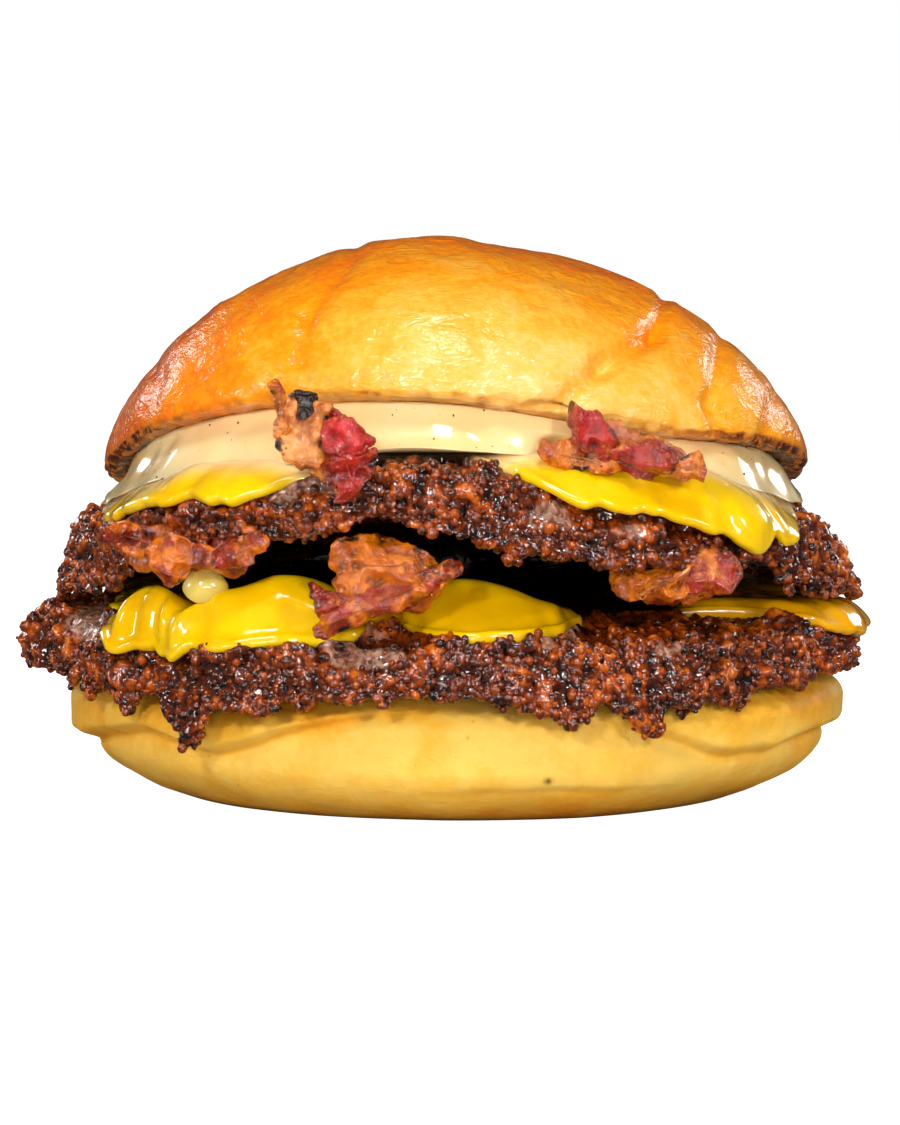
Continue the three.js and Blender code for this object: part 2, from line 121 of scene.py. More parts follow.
def noise(points, size, salt=0):
    """Smooth noise from -1 to 1: random values on a lattice of `size` mm, blended along each axis."""
    p = points / size
    base = np.floor(p)
    f = p - base
    f = f * f * (3 - 2 * f)
    total = 0
    for corner in product((0, 1), repeat=3):
        weight = np.prod(np.where(corner, f, 1 - f), axis=-1)
        total = total + weight * hashed(base + corner, salt)
    return 2 * total - 1


def layered(points, size, octaves, salt=0):
    """Noise of several sizes, each half as large and half as high as the one before."""
    return sum(noise(points, size / 2**k, salt + 7 * k) / 2**k for k in range(octaves)) / (2 - 2 ** (1 - octaves))


def domes(points, size, salt=0):
    """Packed round beads, one to each cell of `size` mm: the highest cap sqrt(r^2 - d^2) of the cells around."""
    p = points / size
    base = np.floor(p)
    best = np.zeros(p.shape[:-1])
    for step in product((-1, 0, 1), repeat=3):
        cell = base + step
        middle = cell + 0.15 + 0.7 * np.stack([hashed(cell, salt + k) for k in range(3)], axis=-1)
        reach = 0.5 + 0.4 * hashed(cell, salt + 3)
        away = ((p - middle) ** 2).sum(axis=-1)
        best = np.maximum(best, np.sqrt(np.maximum(0, reach**2 - away)))
    return best / 0.9


def round_the_ring(angle, radius, size, salt=0):
    """Noise that runs round a ring of `radius` mm, closed at 360 degrees."""
    turn = np.radians(angle)
    points = np.stack([radius * np.cos(turn), radius * np.sin(turn), np.zeros_like(turn)], axis=-1)
    return noise(points, size, salt)


def front_heavy(columns, share):
    """Angles once round, closer together at the front: even ones plus share times the sine of the turn."""
    even = np.arange(columns) * 360 / columns
    return even + math.degrees(share) * np.sin(np.radians(even - 90))


def normals(grid):
    """Outward directions of a grid closed round its columns: the cross product of the steps down and round."""
    down = np.gradient(grid, axis=0)
    round_ = np.roll(grid, -1, axis=1) - np.roll(grid, 1, axis=1)
    across = np.cross(down, round_)
    return across / np.maximum(1e-9, np.linalg.norm(across, axis=-1, keepdims=True))


def solid_object(name, points, quads, triangles, marks, material):
    """A mesh object in metres from arrays of points, faces and named masks."""
    mesh = bpy.data.meshes.new(name)
    corners = np.concatenate([quads.ravel(), triangles.ravel()]).astype(np.int32)
    sizes = np.concatenate([np.full(len(quads), 4), np.full(len(triangles), 3)])
    starts = np.concatenate([[0], np.cumsum(sizes)[:-1]]).astype(np.int32)
    mesh.vertices.add(len(points))
    mesh.vertices.foreach_set("co", (points * MM).astype(np.float32).ravel())
    mesh.loops.add(len(corners))
    mesh.loops.foreach_set("vertex_index", corners)
    mesh.polygons.add(len(sizes))
    mesh.polygons.foreach_set("loop_start", starts)
    mesh.polygons.foreach_set("use_smooth", np.ones(len(sizes), bool))
    for mark, values in marks.items():
        layer = mesh.attributes.new(mark, "FLOAT", "POINT")
        layer.data.foreach_set("value", values.astype(np.float32))
    mesh.update(calc_edges=True)
    mesh.materials.append(material)
    piece = bpy.data.objects.new(name, mesh)
    bpy.context.scene.collection.objects.link(piece)
    return piece


def skin(name, grid, marks, material):
    """A closed skin from one grid of points and its masks."""
    return skins(name, [(grid, marks)], material)


def skins(name, parts, material):
    """Closed skins joined in one mesh, each from a grid [row, column] and its masks."""
    closed = [closed_skin(grid, marks) for grid, marks in parts]
    starts = np.cumsum([0] + [len(points) for points, *_ in closed])
    return solid_object(
        name,
        np.concatenate([points for points, *_ in closed]),
        np.concatenate([quads + start for (_, quads, _, _), start in zip(closed, starts)]),
        np.concatenate([triangles + start for (_, _, triangles, _), start in zip(closed, starts)]),
        {key: np.concatenate([marks[key] for *_, marks in closed]) for key in parts[0][1]},
        material,
    )


def closed_skin(grid, marks):
    """Points, quads, triangles and masks of a grid [row, column] that runs from a top middle to a bottom middle.

    Each end is closed by a point in the middle of its row, so there is no seam and no open pole.
    """
    points = np.concatenate([grid.reshape(-1, 3), grid[0].mean(0)[None], grid[-1].mean(0)[None]])
    flat_marks = {
        key: np.concatenate([values.ravel(), [values[0].mean(), values[-1].mean()]])
        for key, values in marks.items()
    }
    return points, *closed_faces(*grid.shape[:2]), flat_marks


def closed_faces(rows, columns):
    """Quads between the rows of a closed grid, and triangles to a top and a bottom point that follow its points."""
    row, column = np.meshgrid(np.arange(rows - 1), np.arange(columns), indexing="ij")
    beside = (column + 1) % columns
    corner = row * columns
    quads = np.stack([corner + column, corner + columns + column, corner + columns + beside, corner + beside], -1)
    ends = np.arange(columns)
    following = (ends + 1) % columns
    last = (rows - 1) * columns
    top = np.stack([np.full(columns, rows * columns), ends, following], -1)
    bottom = np.stack([np.full(columns, rows * columns + 1), last + following, last + ends], -1)
    return quads.reshape(-1, 4), np.concatenate([top, bottom])


def bead_shape(rings=4, columns=7):
    """A small ball of a few dozen faces: its points, quads and triangles, poles at top and bottom."""
    rise = np.radians(np.linspace(90, -90, rings + 1))[1:-1]
    turn = np.radians(np.arange(columns) * 360 / columns)
    body = np.stack(
        [
            np.outer(np.cos(rise), np.cos(turn)),
            np.outer(np.cos(rise), np.sin(turn)),
            np.outer(np.sin(rise), np.ones(columns)),
        ],
        axis=-1,
    ).reshape(-1, 3)
    return np.concatenate([body, [[0, 0, 1], [0, 0, -1]]]), *closed_faces(rings - 1, columns)


def scattered(name, centres, spans, marks, material, rings=4, columns=7):
    """Many small balls in one mesh: the ball's points times each ball's three half sizes, moved to its centre."""
    points, quads, triangles = bead_shape(rings, columns)
    count = len(centres)
    placed = centres[:, None] + spans[:, None] * points[None]
    shift = (np.arange(count) * len(points))[:, None, None]
    spread = {mark: np.repeat(values, len(points)) for mark, values in marks.items()}
    return solid_object(
        name,
        placed.reshape(-1, 3),
        (quads[None] + shift).reshape(-1, 4),
        (triangles[None] + shift).reshape(-1, 3),
        spread,
        material,
    )


# Node helpers

def plug(tree, socket, value):
    """Links a socket to another, or sets its value."""
    if isinstance(value, bpy.types.NodeSocket):
        tree.links.new(value, socket)
    else:
        socket.default_value = value


def node(tree, kind, inputs=None, **settings):
    """A shader node with its settings and inputs."""
    made = tree.nodes.new("ShaderNode" + kind)
    for key, value in settings.items():
        setattr(made, key, value)
    for key, value in (inputs or {}).items():
        plug(tree, made.inputs[key], value)
    return made


def mixed(tree, factor, first, second, blend="MIX"):
    """Two colours mixed by a factor."""
    made = node(tree, "Mix", data_type="RGBA", blend_type=blend)
    for index, value in ((0, factor), (6, first), (7, second)):
        plug(tree, made.inputs[index], value)
    return made.outputs[2]


def maths(tree, operation, first, second=0.0):
    """One arithmetic step on two values."""
    return node(tree, "Math", {0: first, 1: second}, operation=operation).outputs[0]


def swayed(tree, value, mask, amount):
    """A value raised or lowered by a mask about the mask's middle, 0.5."""
    return maths(tree, "ADD", value, maths(tree, "MULTIPLY", maths(tree, "SUBTRACT", mask, 0.5), amount))


def tinted(tree, base, mask, strength, *tint):
    """A base colour that takes a share of a tint, in screen values, where a mask is."""
    return mixed(tree, maths(tree, "MULTIPLY", mask, strength), base, colour(*tint))


def ranged(tree, value, low, high, to_low=0.0, to_high=1.0):
    """Maps low..high smoothly onto to_low..to_high."""
    inputs = {"Value": value, "From Min": low, "From Max": high, "To Min": to_low, "To Max": to_high}
    return node(tree, "MapRange", inputs, interpolation_type="SMOOTHSTEP").outputs[0]


def mark(tree, name):
    """A mask that the mesh carries."""
    return node(tree, "Attribute", attribute_type="GEOMETRY", attribute_name=name).outputs["Fac"]


def place_of(tree, stretch=(1, 1, 1)):
    """Object coordinates, stretched along the axes."""
    coordinates = node(tree, "TexCoord").outputs["Object"]
    return node(tree, "Mapping", {"Vector": coordinates, "Scale": stretch}).outputs[0]


def colour(red, green, blue):
    """A linear colour from screen values of 0 to 255."""
    channels = [((c / 255 + 0.055) / 1.055) ** 2.4 if c > 10 else c / 255 / 12.92 for c in (red, green, blue)]
    return (*channels, 1.0)


def ramp(tree, factor, *stops):
    """A colour ramp through (place, colour) stops."""
    made = node(tree, "ValToRGB", {0: factor})
    band = made.color_ramp
    while len(band.elements) < len(stops):
        band.elements.new(0.5)
    for element, (where, tint) in zip(band.elements, stops):
        element.position = where
        element.color = tint
    return made.outputs[0]


def new_group(name, inputs, output):
    """An empty node group with named inputs and one output: the tree, its input node and a call that closes it."""
    tree = bpy.data.node_groups.new(name, "ShaderNodeTree")
    for label, kind, value in inputs:
        socket = tree.interface.new_socket(label, in_out="INPUT", socket_type="NodeSocket" + kind)
        if value is not None:
            socket.default_value = value
    tree.interface.new_socket(output, in_out="OUTPUT", socket_type="NodeSocketFloat")
    start = tree.nodes.new("NodeGroupInput")
    end = tree.nodes.new("NodeGroupOutput")
    return tree, start, lambda value: tree.links.new(value, end.inputs[0])


def wrinkle_group():
    """Fine wrinkles of a baked or fried skin: ridged noise pulled about by larger noise, with fine grain on it."""
    inputs = [("Vector", "Vector", None), ("Scale", "Float", 500.0), ("Grain", "Float", 0.35)]
    tree, start, close = new_group("wrinkles", inputs, "Height")
    vector, scale, grain = start.outputs[0], start.outputs[1], start.outputs[2]
    folds = node(tree, "TexNoise", {"Vector": vector, "Scale": scale, "Detail": 3.0, "Distortion": 1.2})
    ridge = maths(tree, "ABSOLUTE", maths(tree, "SUBTRACT", folds.outputs[0], 0.5))
    finer = maths(tree, "MULTIPLY", scale, 4.0)
    fine = node(tree, "TexNoise", {"Vector": vector, "Scale": finer, "Detail": 2.0})
    grains = maths(tree, "MULTIPLY", fine.outputs[0], grain)
    close(maths(tree, "ADD", maths(tree, "MULTIPLY", ridge, 2.0), grains))
    return tree


def mottle_group():
    """Blotches: layered noise, with its contrast raised between two levels."""
    inputs = [("Vector", "Vector", None), ("Scale", "Float", 100.0), ("Low", "Float", 0.4), ("High", "Float", 0.6)]
    tree, start, close = new_group("mottle", inputs, "Mask")
    blotch = node(tree, "TexNoise", {"Vector": start.outputs[0], "Scale": start.outputs[1], "Detail": 5.0})
    close(ranged(tree, blotch.outputs[0], start.outputs[2], start.outputs[3]))
    return tree


def speck_group():
    """Round specks: the distance to scattered points, under a size that noise changes from place to place."""
    inputs = [("Vector", "Vector", None), ("Scale", "Float", 300.0), ("Size", "Float", 0.2)]
    tree, start, close = new_group("specks", inputs, "Mask")
    cells = node(tree, "TexVoronoi", {"Vector": start.outputs[0], "Scale": start.outputs[1]})
    patches = node(tree, "TexNoise", {"Vector": start.outputs[0], "Scale": 90.0, "Detail": 1.0})
    size = maths(tree, "MULTIPLY", start.outputs[2], ranged(tree, patches.outputs[0], 0.4, 0.65))
    close(maths(tree, "LESS_THAN", cells.outputs["Distance"], size))
    return tree


def bead_group():
    """Packed round beads: a cap sqrt(reach^2 - distance^2) over scattered points, with creases between them."""
    inputs = [("Vector", "Vector", None), ("Scale", "Float", 800.0)]
    tree, start, close = new_group("beads", inputs, "Height")
    cells = node(tree, "TexVoronoi", {"Vector": start.outputs[0], "Scale": start.outputs[1], "Randomness": 0.9})
    away = cells.outputs["Distance"]
    cap = maths(tree, "MAXIMUM", maths(tree, "SUBTRACT", 0.5, maths(tree, "MULTIPLY", away, away)), 0.0)
    close(maths(tree, "MULTIPLY", maths(tree, "SQRT", cap), 1.41))
    return tree


WRINKLES = wrinkle_group()
MOTTLE = mottle_group()
SPECKS = speck_group()
BEADS = bead_group()


def effect(tree, group, **inputs):
    """A shared effect placed in a material with its own values."""
    made = node(tree, "Group", node_tree=group)
    for key, value in inputs.items():
        plug(tree, made.inputs[key.capitalize()], value)
    return made.outputs[0]


def new_material(name, **constants):
    """A material and its tree and shader; constants are set on the shader's own sockets."""
    material = bpy.data.materials.new(name)
    material.use_nodes = True
    shader = material.node_tree.nodes["Principled BSDF"]
    for key, value in constants.items():
        shader.inputs[key.replace("_", " ")].default_value = value
    return material, material.node_tree, shader


def bumped(tree, shader, *layers):
    """Feeds bump layers of (height, strength, distance in metres), coarse first, to the shader's normal."""
    normal = None
    for height, strength, distance in layers:
        inputs = {"Height": height, "Strength": strength, "Distance": distance}
        if normal is not None:
            inputs["Normal"] = normal
        normal = node(tree, "Bump", inputs).outputs[0]
    tree.links.new(normal, shader.inputs["Normal"])
    tree.links.new(normal, shader.inputs["Coat Normal"])


def crust_material():
    """Egg-washed crust: golden orange above, pale low down, toasted at the cut, with crinkled gloss and pores."""
    material, tree, shader = new_material(
        "crust", Coat_Weight=0.7, Coat_Roughness=0.1, Specular_IOR_Level=0.12,
        Subsurface_Weight=0.1, Subsurface_Scale=0.0015, Subsurface_Radius=(1.0, 0.6, 0.3),
    )
    place = place_of(tree)
    blotch = effect(tree, MOTTLE, vector=place, scale=170.0, low=0.35, high=0.68)
    fine = effect(tree, MOTTLE, vector=place, scale=900.0, low=0.35, high=0.65)
    # the bake mask is partly real bake and partly painted light: a paler lit front, painted shade on the sides and
    # in the dents
    bake_and_shade = swayed(tree, swayed(tree, mark(tree, "bake_and_shade"), blotch, 0.16), fine, 0.12)
    base = ramp(
        tree,
        bake_and_shade,
        (0.0, colour(248, 200, 116)),
        (0.25, colour(248, 180, 62)),
        (0.5, colour(250, 152, 10)),
        (0.75, colour(246, 116, 0)),
        (0.92, colour(196, 76, 1)),
        (1.0, colour(146, 50, 2)),
    )
    pores = effect(tree, SPECKS, vector=place, scale=520.0, size=0.1)
    base = tinted(tree, base, pores, 0.3, 160, 72, 6)
    toast = maths(tree, "MULTIPLY", mark(tree, "toast"), ranged(tree, fine, 0.0, 0.6, 0.55, 1.0))
    base = mixed(tree, ranged(tree, toast, 0.0, 0.5), base, colour(196, 108, 24))
    base = mixed(tree, ranged(tree, toast, 0.4, 1.0), base, colour(70, 26, 8))
    tree.links.new(base, shader.inputs["Base Color"])
    wrinkles = effect(tree, WRINKLES, vector=place_of(tree, (0.55, 0.55, 1.3)), scale=520.0, grain=0.3)
    tree.links.new(ranged(tree, blotch, 0.0, 1.0, 0.34, 0.46), shader.inputs["Roughness"])
    grain = node(tree, "TexNoise", {"Vector": place, "Scale": 2600.0, "Detail": 2.0}).outputs[0]
    bumped(tree, shader, (wrinkles, 0.34, 0.0006), (grain, 0.15, 0.00012))
    return material


def crumb_material():
    """Soft pale crust of the heel: yellow body, golden lips and base, dry and finely wrinkled."""
    material, tree, shader = new_material(
        "crumb", Coat_Weight=0.1, Coat_Roughness=0.35, Specular_IOR_Level=0.15,
        Subsurface_Weight=0.12, Subsurface_Scale=0.0015, Subsurface_Radius=(1.0, 0.7, 0.4),
    )
    place = place_of(tree)
    blotch = effect(tree, MOTTLE, vector=place, scale=130.0, low=0.38, high=0.66)
    fine = effect(tree, MOTTLE, vector=place, scale=800.0, low=0.38, high=0.62)
    # the bake mask is partly real bake and partly painted shade in the pleat, the low fold and on the left and
    # right sides
    bake_and_shade = swayed(tree, swayed(tree, mark(tree, "bake_and_shade"), blotch, 0.24), fine, 0.08)
    base = ramp(
        tree,
        bake_and_shade,
        (0.0, colour(246, 200, 90)),
        (0.3, colour(242, 180, 54)),
        (0.6, colour(230, 146, 16)),
        (0.85, colour(200, 104, 3)),
        (1.0, colour(124, 54, 3)),
    )
    specks = effect(tree, SPECKS, vector=place, scale=380.0, size=0.1)
    base = tinted(tree, base, specks, 0.4, 196, 130, 40)
    base = mixed(tree, mark(tree, "toast"), base, colour(80, 36, 12))
    tree.links.new(base, shader.inputs["Base Color"])
    wrinkles = effect(tree, WRINKLES, vector=place_of(tree, (0.7, 0.7, 1.3)), scale=520.0, grain=0.4)
    tree.links.new(ranged(tree, blotch, 0.0, 1.0, 0.5, 0.62), shader.inputs["Roughness"])
    grain = node(tree, "TexNoise", {"Vector": place, "Scale": 2400.0, "Detail": 3.0}).outputs[0]
    bumped(tree, shader, (wrinkles, 0.3, 0.0003), (grain, 0.35, 0.00012))
    return material


def seared_material():
    """Greasy seared crust: red-brown beads, crevices painted near black as shade, and smooth grey-pink patches of
    bare meat.
    """
    material, tree, shader = new_material(
        "seared", Coat_Weight=1.0, Coat_Roughness=0.07, Coat_IOR=1.62, Specular_IOR_Level=0.1,
        Subsurface_Weight=0.1, Subsurface_Scale=0.0012, Subsurface_Radius=(1.0, 0.35, 0.1),
    )
    place = place_of(tree)
    beads = effect(tree, BEADS, vector=place, scale=820.0)
    small = effect(tree, BEADS, vector=place, scale=1900.0)
    blotch = effect(tree, MOTTLE, vector=place, scale=150.0, low=0.36, high=0.62)
    fine = effect(tree, MOTTLE, vector=place, scale=1300.0, low=0.35, high=0.65)
    height = maths(tree, "MULTIPLY", mark(tree, "crust"), 0.62)
    height = maths(tree, "ADD", height, maths(tree, "MULTIPLY", beads, 0.3))
    height = maths(tree, "ADD", height, maths(tree, "MULTIPLY", small, 0.14))
    # painted shade: the colour follows the crag height, near black down in the crevices and caramel on the bead
    # tops
    warm = ramp(
        tree,
        height,
        (0.15, colour(14, 3, 0)),
        (0.45, colour(110, 37, 1)),
        (0.7, colour(180, 78, 7)),
        (1.0, colour(236, 134, 38)),
    )
    dark = ramp(
        tree,
        height,
        (0.15, colour(8, 2, 0)),
        (0.45, colour(70, 21, 1)),
        (0.7, colour(134, 50, 6)),
        (1.0, colour(198, 98, 28)),
    )
    base = mixed(tree, blotch, dark, warm)
    meat = ramp(tree, fine, (0.0, colour(132, 84, 62)), (0.5, colour(178, 126, 100)), (1.0, colour(212, 164, 136)))
    base = mixed(tree, mark(tree, "meat"), base, meat)
    tree.links.new(base, shader.inputs["Base Color"])
    tree.links.new(ranged(tree, height, 0.2, 0.8, 0.6, 0.16), shader.inputs["Roughness"])
    bumped(tree, shader, (beads, 0.45, 0.0004), (small, 0.08, 0.0002))
    return material


def melted_material():
    """Melted cheese: glossy, even yellow, lit through at thin edges; painted shade turns it deeper orange inward
    and near black in the gap and under the sauce.
    """
    material, tree, shader = new_material(
        "melted", Coat_Weight=0.9, Coat_Roughness=0.05, Coat_IOR=1.55, Specular_IOR_Level=0.15,
        Subsurface_Weight=0.3, Subsurface_Scale=0.003, Subsurface_Radius=(1.0, 0.6, 0.05),
    )
    place = place_of(tree)
    cloud = effect(tree, MOTTLE, vector=place, scale=90.0, low=0.3, high=0.7)
    base = mixed(tree, cloud, colour(252, 186, 0), colour(254, 202, 4))
    # painted shade: deeper orange inward from the slice's edge
    base = tinted(tree, base, mark(tree, "shade"), 0.8, 238, 152, 0)
    base = mixed(tree, mark(tree, "cream"), base, colour(250, 214, 150))
    # painted shade: near black in the gap between the patties and under the sauce
    base = mixed(tree, mark(tree, "painted_deep_shade"), base, colour(26, 12, 1))
    tree.links.new(base, shader.inputs["Base Color"])
    tree.links.new(ranged(tree, cloud, 0.0, 1.0, 0.16, 0.28), shader.inputs["Roughness"])
    ripple = node(tree, "TexNoise", {"Vector": place, "Scale": 260.0, "Detail": 2.0}).outputs[0]
    bumped(tree, shader, (ripple, 0.3, 0.0006))
    return material


def creamy_material():
    """Cream sauce: glossy, pale, with faint darker swirls."""
    material, tree, shader = new_material(
        "creamy", Coat_Weight=0.6, Coat_Roughness=0.05, Subsurface_Weight=0.3, Subsurface_Scale=0.003
    )
    shader.inputs["Subsurface Radius"].default_value = (1.0, 0.7, 0.35)
    place = place_of(tree)
    swirl = effect(tree, MOTTLE, vector=place, scale=70.0, low=0.3, high=0.7)
    base = mixed(tree, swirl, colour(248, 206, 138), colour(251, 220, 160))
    fine = effect(tree, SPECKS, vector=place, scale=900.0, size=0.05)
    base = tinted(tree, base, fine, 0.5, 150, 100, 50)
    tree.links.new(base, shader.inputs["Base Color"])
    tree.links.new(ranged(tree, swirl, 0.0, 1.0, 0.14, 0.22), shader.inputs["Roughness"])
    ripple = node(tree, "TexNoise", {"Vector": place, "Scale": 200.0, "Detail": 1.0}).outputs[0]
    bumped(tree, shader, (ripple, 0.1, 0.0006))
    return material


def cured_material():
    """Crisp streaky bacon: red lean, peach fat that turns golden where it is crisp, and charred spots."""
    material, tree, shader = new_material(
        "cured", Coat_Weight=1.0, Coat_Roughness=0.07, Coat_IOR=1.6, Specular_IOR_Level=0.12,
        Subsurface_Weight=0.15, Subsurface_Scale=0.0015, Subsurface_Radius=(1.0, 0.35, 0.08),
    )
    place = place_of(tree)
    fine = effect(tree, MOTTLE, vector=place, scale=1500.0, low=0.35, high=0.65)
    blotch = effect(tree, MOTTLE, vector=place, scale=420.0, low=0.38, high=0.62)
    crisp = mark(tree, "crisp")
    fat = mixed(tree, crisp, colour(246, 170, 100), colour(224, 116, 4))
    lean = mixed(tree, crisp, colour(210, 40, 36), colour(156, 44, 1))
    dark_lean = mixed(tree, crisp, colour(140, 20, 18), colour(84, 22, 2))
    lean = mixed(tree, maths(tree, "MULTIPLY", blotch, 0.6), lean, dark_lean)
    fat = tinted(tree, fat, blotch, 0.75, 160, 64, 3)
    stripes = maths(tree, "ADD", mark(tree, "lean"), maths(tree, "MULTIPLY", fine, 0.16))
    base = mixed(tree, ranged(tree, stripes, 0.4, 0.8), fat, lean)
    specks = effect(tree, SPECKS, vector=place, scale=900.0, size=0.24)
    base = tinted(tree, base, specks, 0.7, 70, 20, 6)
    # the char mask is real char at spots and crisp edges, plus painted shade in the valleys of the leaves' folds
    char_and_crease_shade = ranged(tree, maths(tree, "ADD", mark(tree, "char_and_crease_shade"), maths(tree, "MULTIPLY", fine, 0.2)), 0.35, 0.9)
    base = mixed(tree, char_and_crease_shade, base, colour(28, 8, 4))
    tree.links.new(base, shader.inputs["Base Color"])
    tree.links.new(ranged(tree, fine, 0.0, 1.0, 0.25, 0.4), shader.inputs["Roughness"])
    wrinkles = effect(tree, WRINKLES, vector=place, scale=700.0, grain=0.5)
    bubbles = effect(tree, BEADS, vector=place, scale=1700.0)
    bumped(tree, shader, (wrinkles, 0.6, 0.0005), (bubbles, 0.3, 0.0002))
    return material


def pale_material():
    """Cooked onion: wet, milky and see-through."""
    material, tree, shader = new_material(
        "pale", Coat_Weight=0.7, Coat_Roughness=0.05, Subsurface_Weight=0.7, Subsurface_Scale=0.004
    )
    shader.inputs["Subsurface Radius"].default_value = (1.0, 0.85, 0.5)
    place = place_of(tree, (1, 1, 0.3))
    strands = node(tree, "TexNoise", {"Vector": place, "Scale": 300.0, "Detail": 1.0}).outputs[0]
    base = mixed(tree, ranged(tree, strands, 0.3, 0.7), colour(232, 184, 60), colour(246, 214, 116))
    tree.links.new(base, shader.inputs["Base Color"])
    tree.links.new(ranged(tree, strands, 0.3, 0.7, 0.1, 0.18), shader.inputs["Roughness"])
    bumped(tree, shader, (strands, 0.15, 0.0004))
    return material


def fleck_material():
    """Ground pepper: dark brown to black."""
    material, tree, shader = new_material("pepper", Coat_Weight=0.3, Coat_Roughness=0.2)
    blotch = effect(tree, MOTTLE, vector=place_of(tree), scale=400.0, low=0.4, high=0.6)
    tree.links.new(mixed(tree, blotch, colour(40, 32, 22), colour(104, 78, 44)), shader.inputs["Base Color"])
    tree.links.new(ranged(tree, blotch, 0.0, 1.0, 0.4, 0.6), shader.inputs["Roughness"])
    return material


# Smashed patties

def front_rise(y):
    """Distance in front of the hinge line, eased by a hyperbola so that it has no kink."""
    ahead = HINGE_Y - y
    return (ahead + np.hypot(ahead, HINGE_SOFT)) / 2


def no_fat(angle):
    """No added thickness."""
    return 0.0 * angle


LOWER_PATTY = {
    "x": 0.0,
    "reach": ring(
        (0, 60.6), (14, 57.4), (40, 58.5), (70, 56.5), (95, 58.5), (125, 56.5), (150, 59),
        (168, 58.2), (183, 60.5), (200, 57.5), (214, 58), (226, 56), (238, 60), (252, 57.2),
        (278, 58.4), (300, 59.6), (318, 57.2), (340, 58.4),
    ),
    "level": lambda y: LOWER_PATTY_Z + 0.0 * y,
    "droop": ring(
        (0, 1.6), (45, 2.2), (90, 1.4), (135, 2.4), (170, 0.4), (186, 0), (203, 1.6), (216, 2.6),
        (226, 2.0), (238, 2.2), (247, 1.8), (268, 1.3), (288, 2.4), (302, 2.8), (322, 2.4), (342, 1.4),
    ),
    "fat": lambda angle: 1.2 * hump(angle, 184, 16) + 0.7 * hump(angle, 300, 30),
    # spots of bare meat on the front: x, z, half width and half height in mm
    "bare": [(-50, 24.8, 5.0, 2.8), (14.3, 25.8, 3.8, 1.7), (31, 24.4, 2.6, 1.2), (-13, 24, 2.6, 1.2)],
    # lobes that hang over the heel: angle, half width in degrees, depth in mm
    "lobes": [
        (233, 4.6, 7.0), (227, 2, 3.0), (219, 3, 2.8), (209, 2, 1.6), (244, 3, 2.0), (251, 2.2, 1.4),
        (262, 1.6, 1.2), (287, 2.6, 3.0), (299, 3, 4.0), (306, 1.6, 2.4), (318, 2, 2.2), (331, 2, 1.2),
        (20, 3, 2.4), (52, 2.4, 2.0), (84, 3, 2.8), (112, 2.4, 1.8), (146, 3, 2.4), (170, 2, 1.4),
    ],
}
UPPER_PATTY = {
    "x": 1.8,
    "reach": ring(
        (0, 58.2), (20, 56), (50, 57.5), (80, 55.5), (110, 57.5), (140, 55.5), (165, 57), (182, 57.8),
        (200, 55), (222, 57.5), (245, 56), (262, 57.4), (280, 56.2), (297, 57.6), (318, 57), (336, 55.8),
    ),
    "level": lambda y: UPPER_PATTY_Z + UPPER_PATTY_SLOPE * front_rise(y),
    "droop": ring(
        (0, 7.4), (30, 2.8), (60, 0.6), (90, 0), (125, 0.8), (160, 3), (180, 5), (196, 5.4), (208, 5.4),
        (218, 4.8), (228, 4.2), (238, 4.0), (247, 3.8), (255, 2.4), (262, 1.2), (272, 2.4), (280, 3.8),
        (290, 5.4), (298, 6.3), (306, 6.7), (320, 6.7), (340, 7.8),
    ),
    "fat": no_fat,
    "bare": [(25.6, 40.6, 3.4, 1.5), (1.3, 47, 2.6, 1.3), (-21.7, 45.2, 3, 0.9), (14, 43.6, 2, 1.2)],
    "lobes": [
        (326, 3, 2.6), (338, 3, 2.4), (188, 5, 2.6), (198, 4, 3.4), (207, 4, 3.0), (215, 3, 1.6),
        (264, 6, 1.6), (273, 5, 2.8), (282, 6, 3.2), (292, 6, 2.2), (302, 6, 1.8), (310, 4, 1.4),
        (60, 3, 1.2), (118, 2.4, 1.0), (168, 5, 2.4), (150, 6, 2.6), (136, 5, 2.4), (30, 8, 2.8), (47, 7, 3.0),
    ],
}


def on_patty(shape, angle, out, lift, side=1):
    """The meat's smooth skin at `out` mm from its middle, `lift` mm off it.

    Level up to the rim, then a quarter circle of half the meat's thickness, then straight down; the rim sinks by
    its droop, eased in from DROOP_FROM to DROOP_TO of the reach.
    """
    reach = shape["reach"](angle)
    half = PATTY_HALF + shape["fat"](angle)
    flat = reach - half
    beyond = np.maximum(0, out - flat)
    turn = np.minimum(beyond / half, np.pi / 2)
    hang = np.maximum(0, beyond - half * np.pi / 2)
    thick = PATTY_HALF + shape["fat"](angle) * smooth(DROOP_FROM, 0.95, out / reach)
    radius = np.minimum(out, flat) + (half + lift) * np.sin(turn)
    around = np.radians(angle)
    x = shape["x"] + radius * np.cos(around)
    y = radius * np.sin(around)
    drop = shape["droop"](angle) * smooth(DROOP_FROM, DROOP_TO, radius / reach)
    z = shape["level"](y) - drop + side * ((thick + lift) * np.cos(turn) - hang)
    return np.stack([x, y, z], axis=-1)


def crag_height(points, salt):
    """Lumps of seared mince, in mm, and how high each place is in them, 0 to 1: two sizes of lump under beads."""
    lumps = 0.9 * noise(points, 5.2, salt) + 0.45 * noise(points, 2.6, salt + 1)
    large = domes(points, 2.8, salt + 10)
    small = domes(points, 1.45, salt + 20)
    height = lumps + 1.25 * large + 0.75 * small - 1.45
    return height, smooth(0.28, 1.02, 0.5 * large + 0.4 * small + 0.16 * lumps + 0.05)


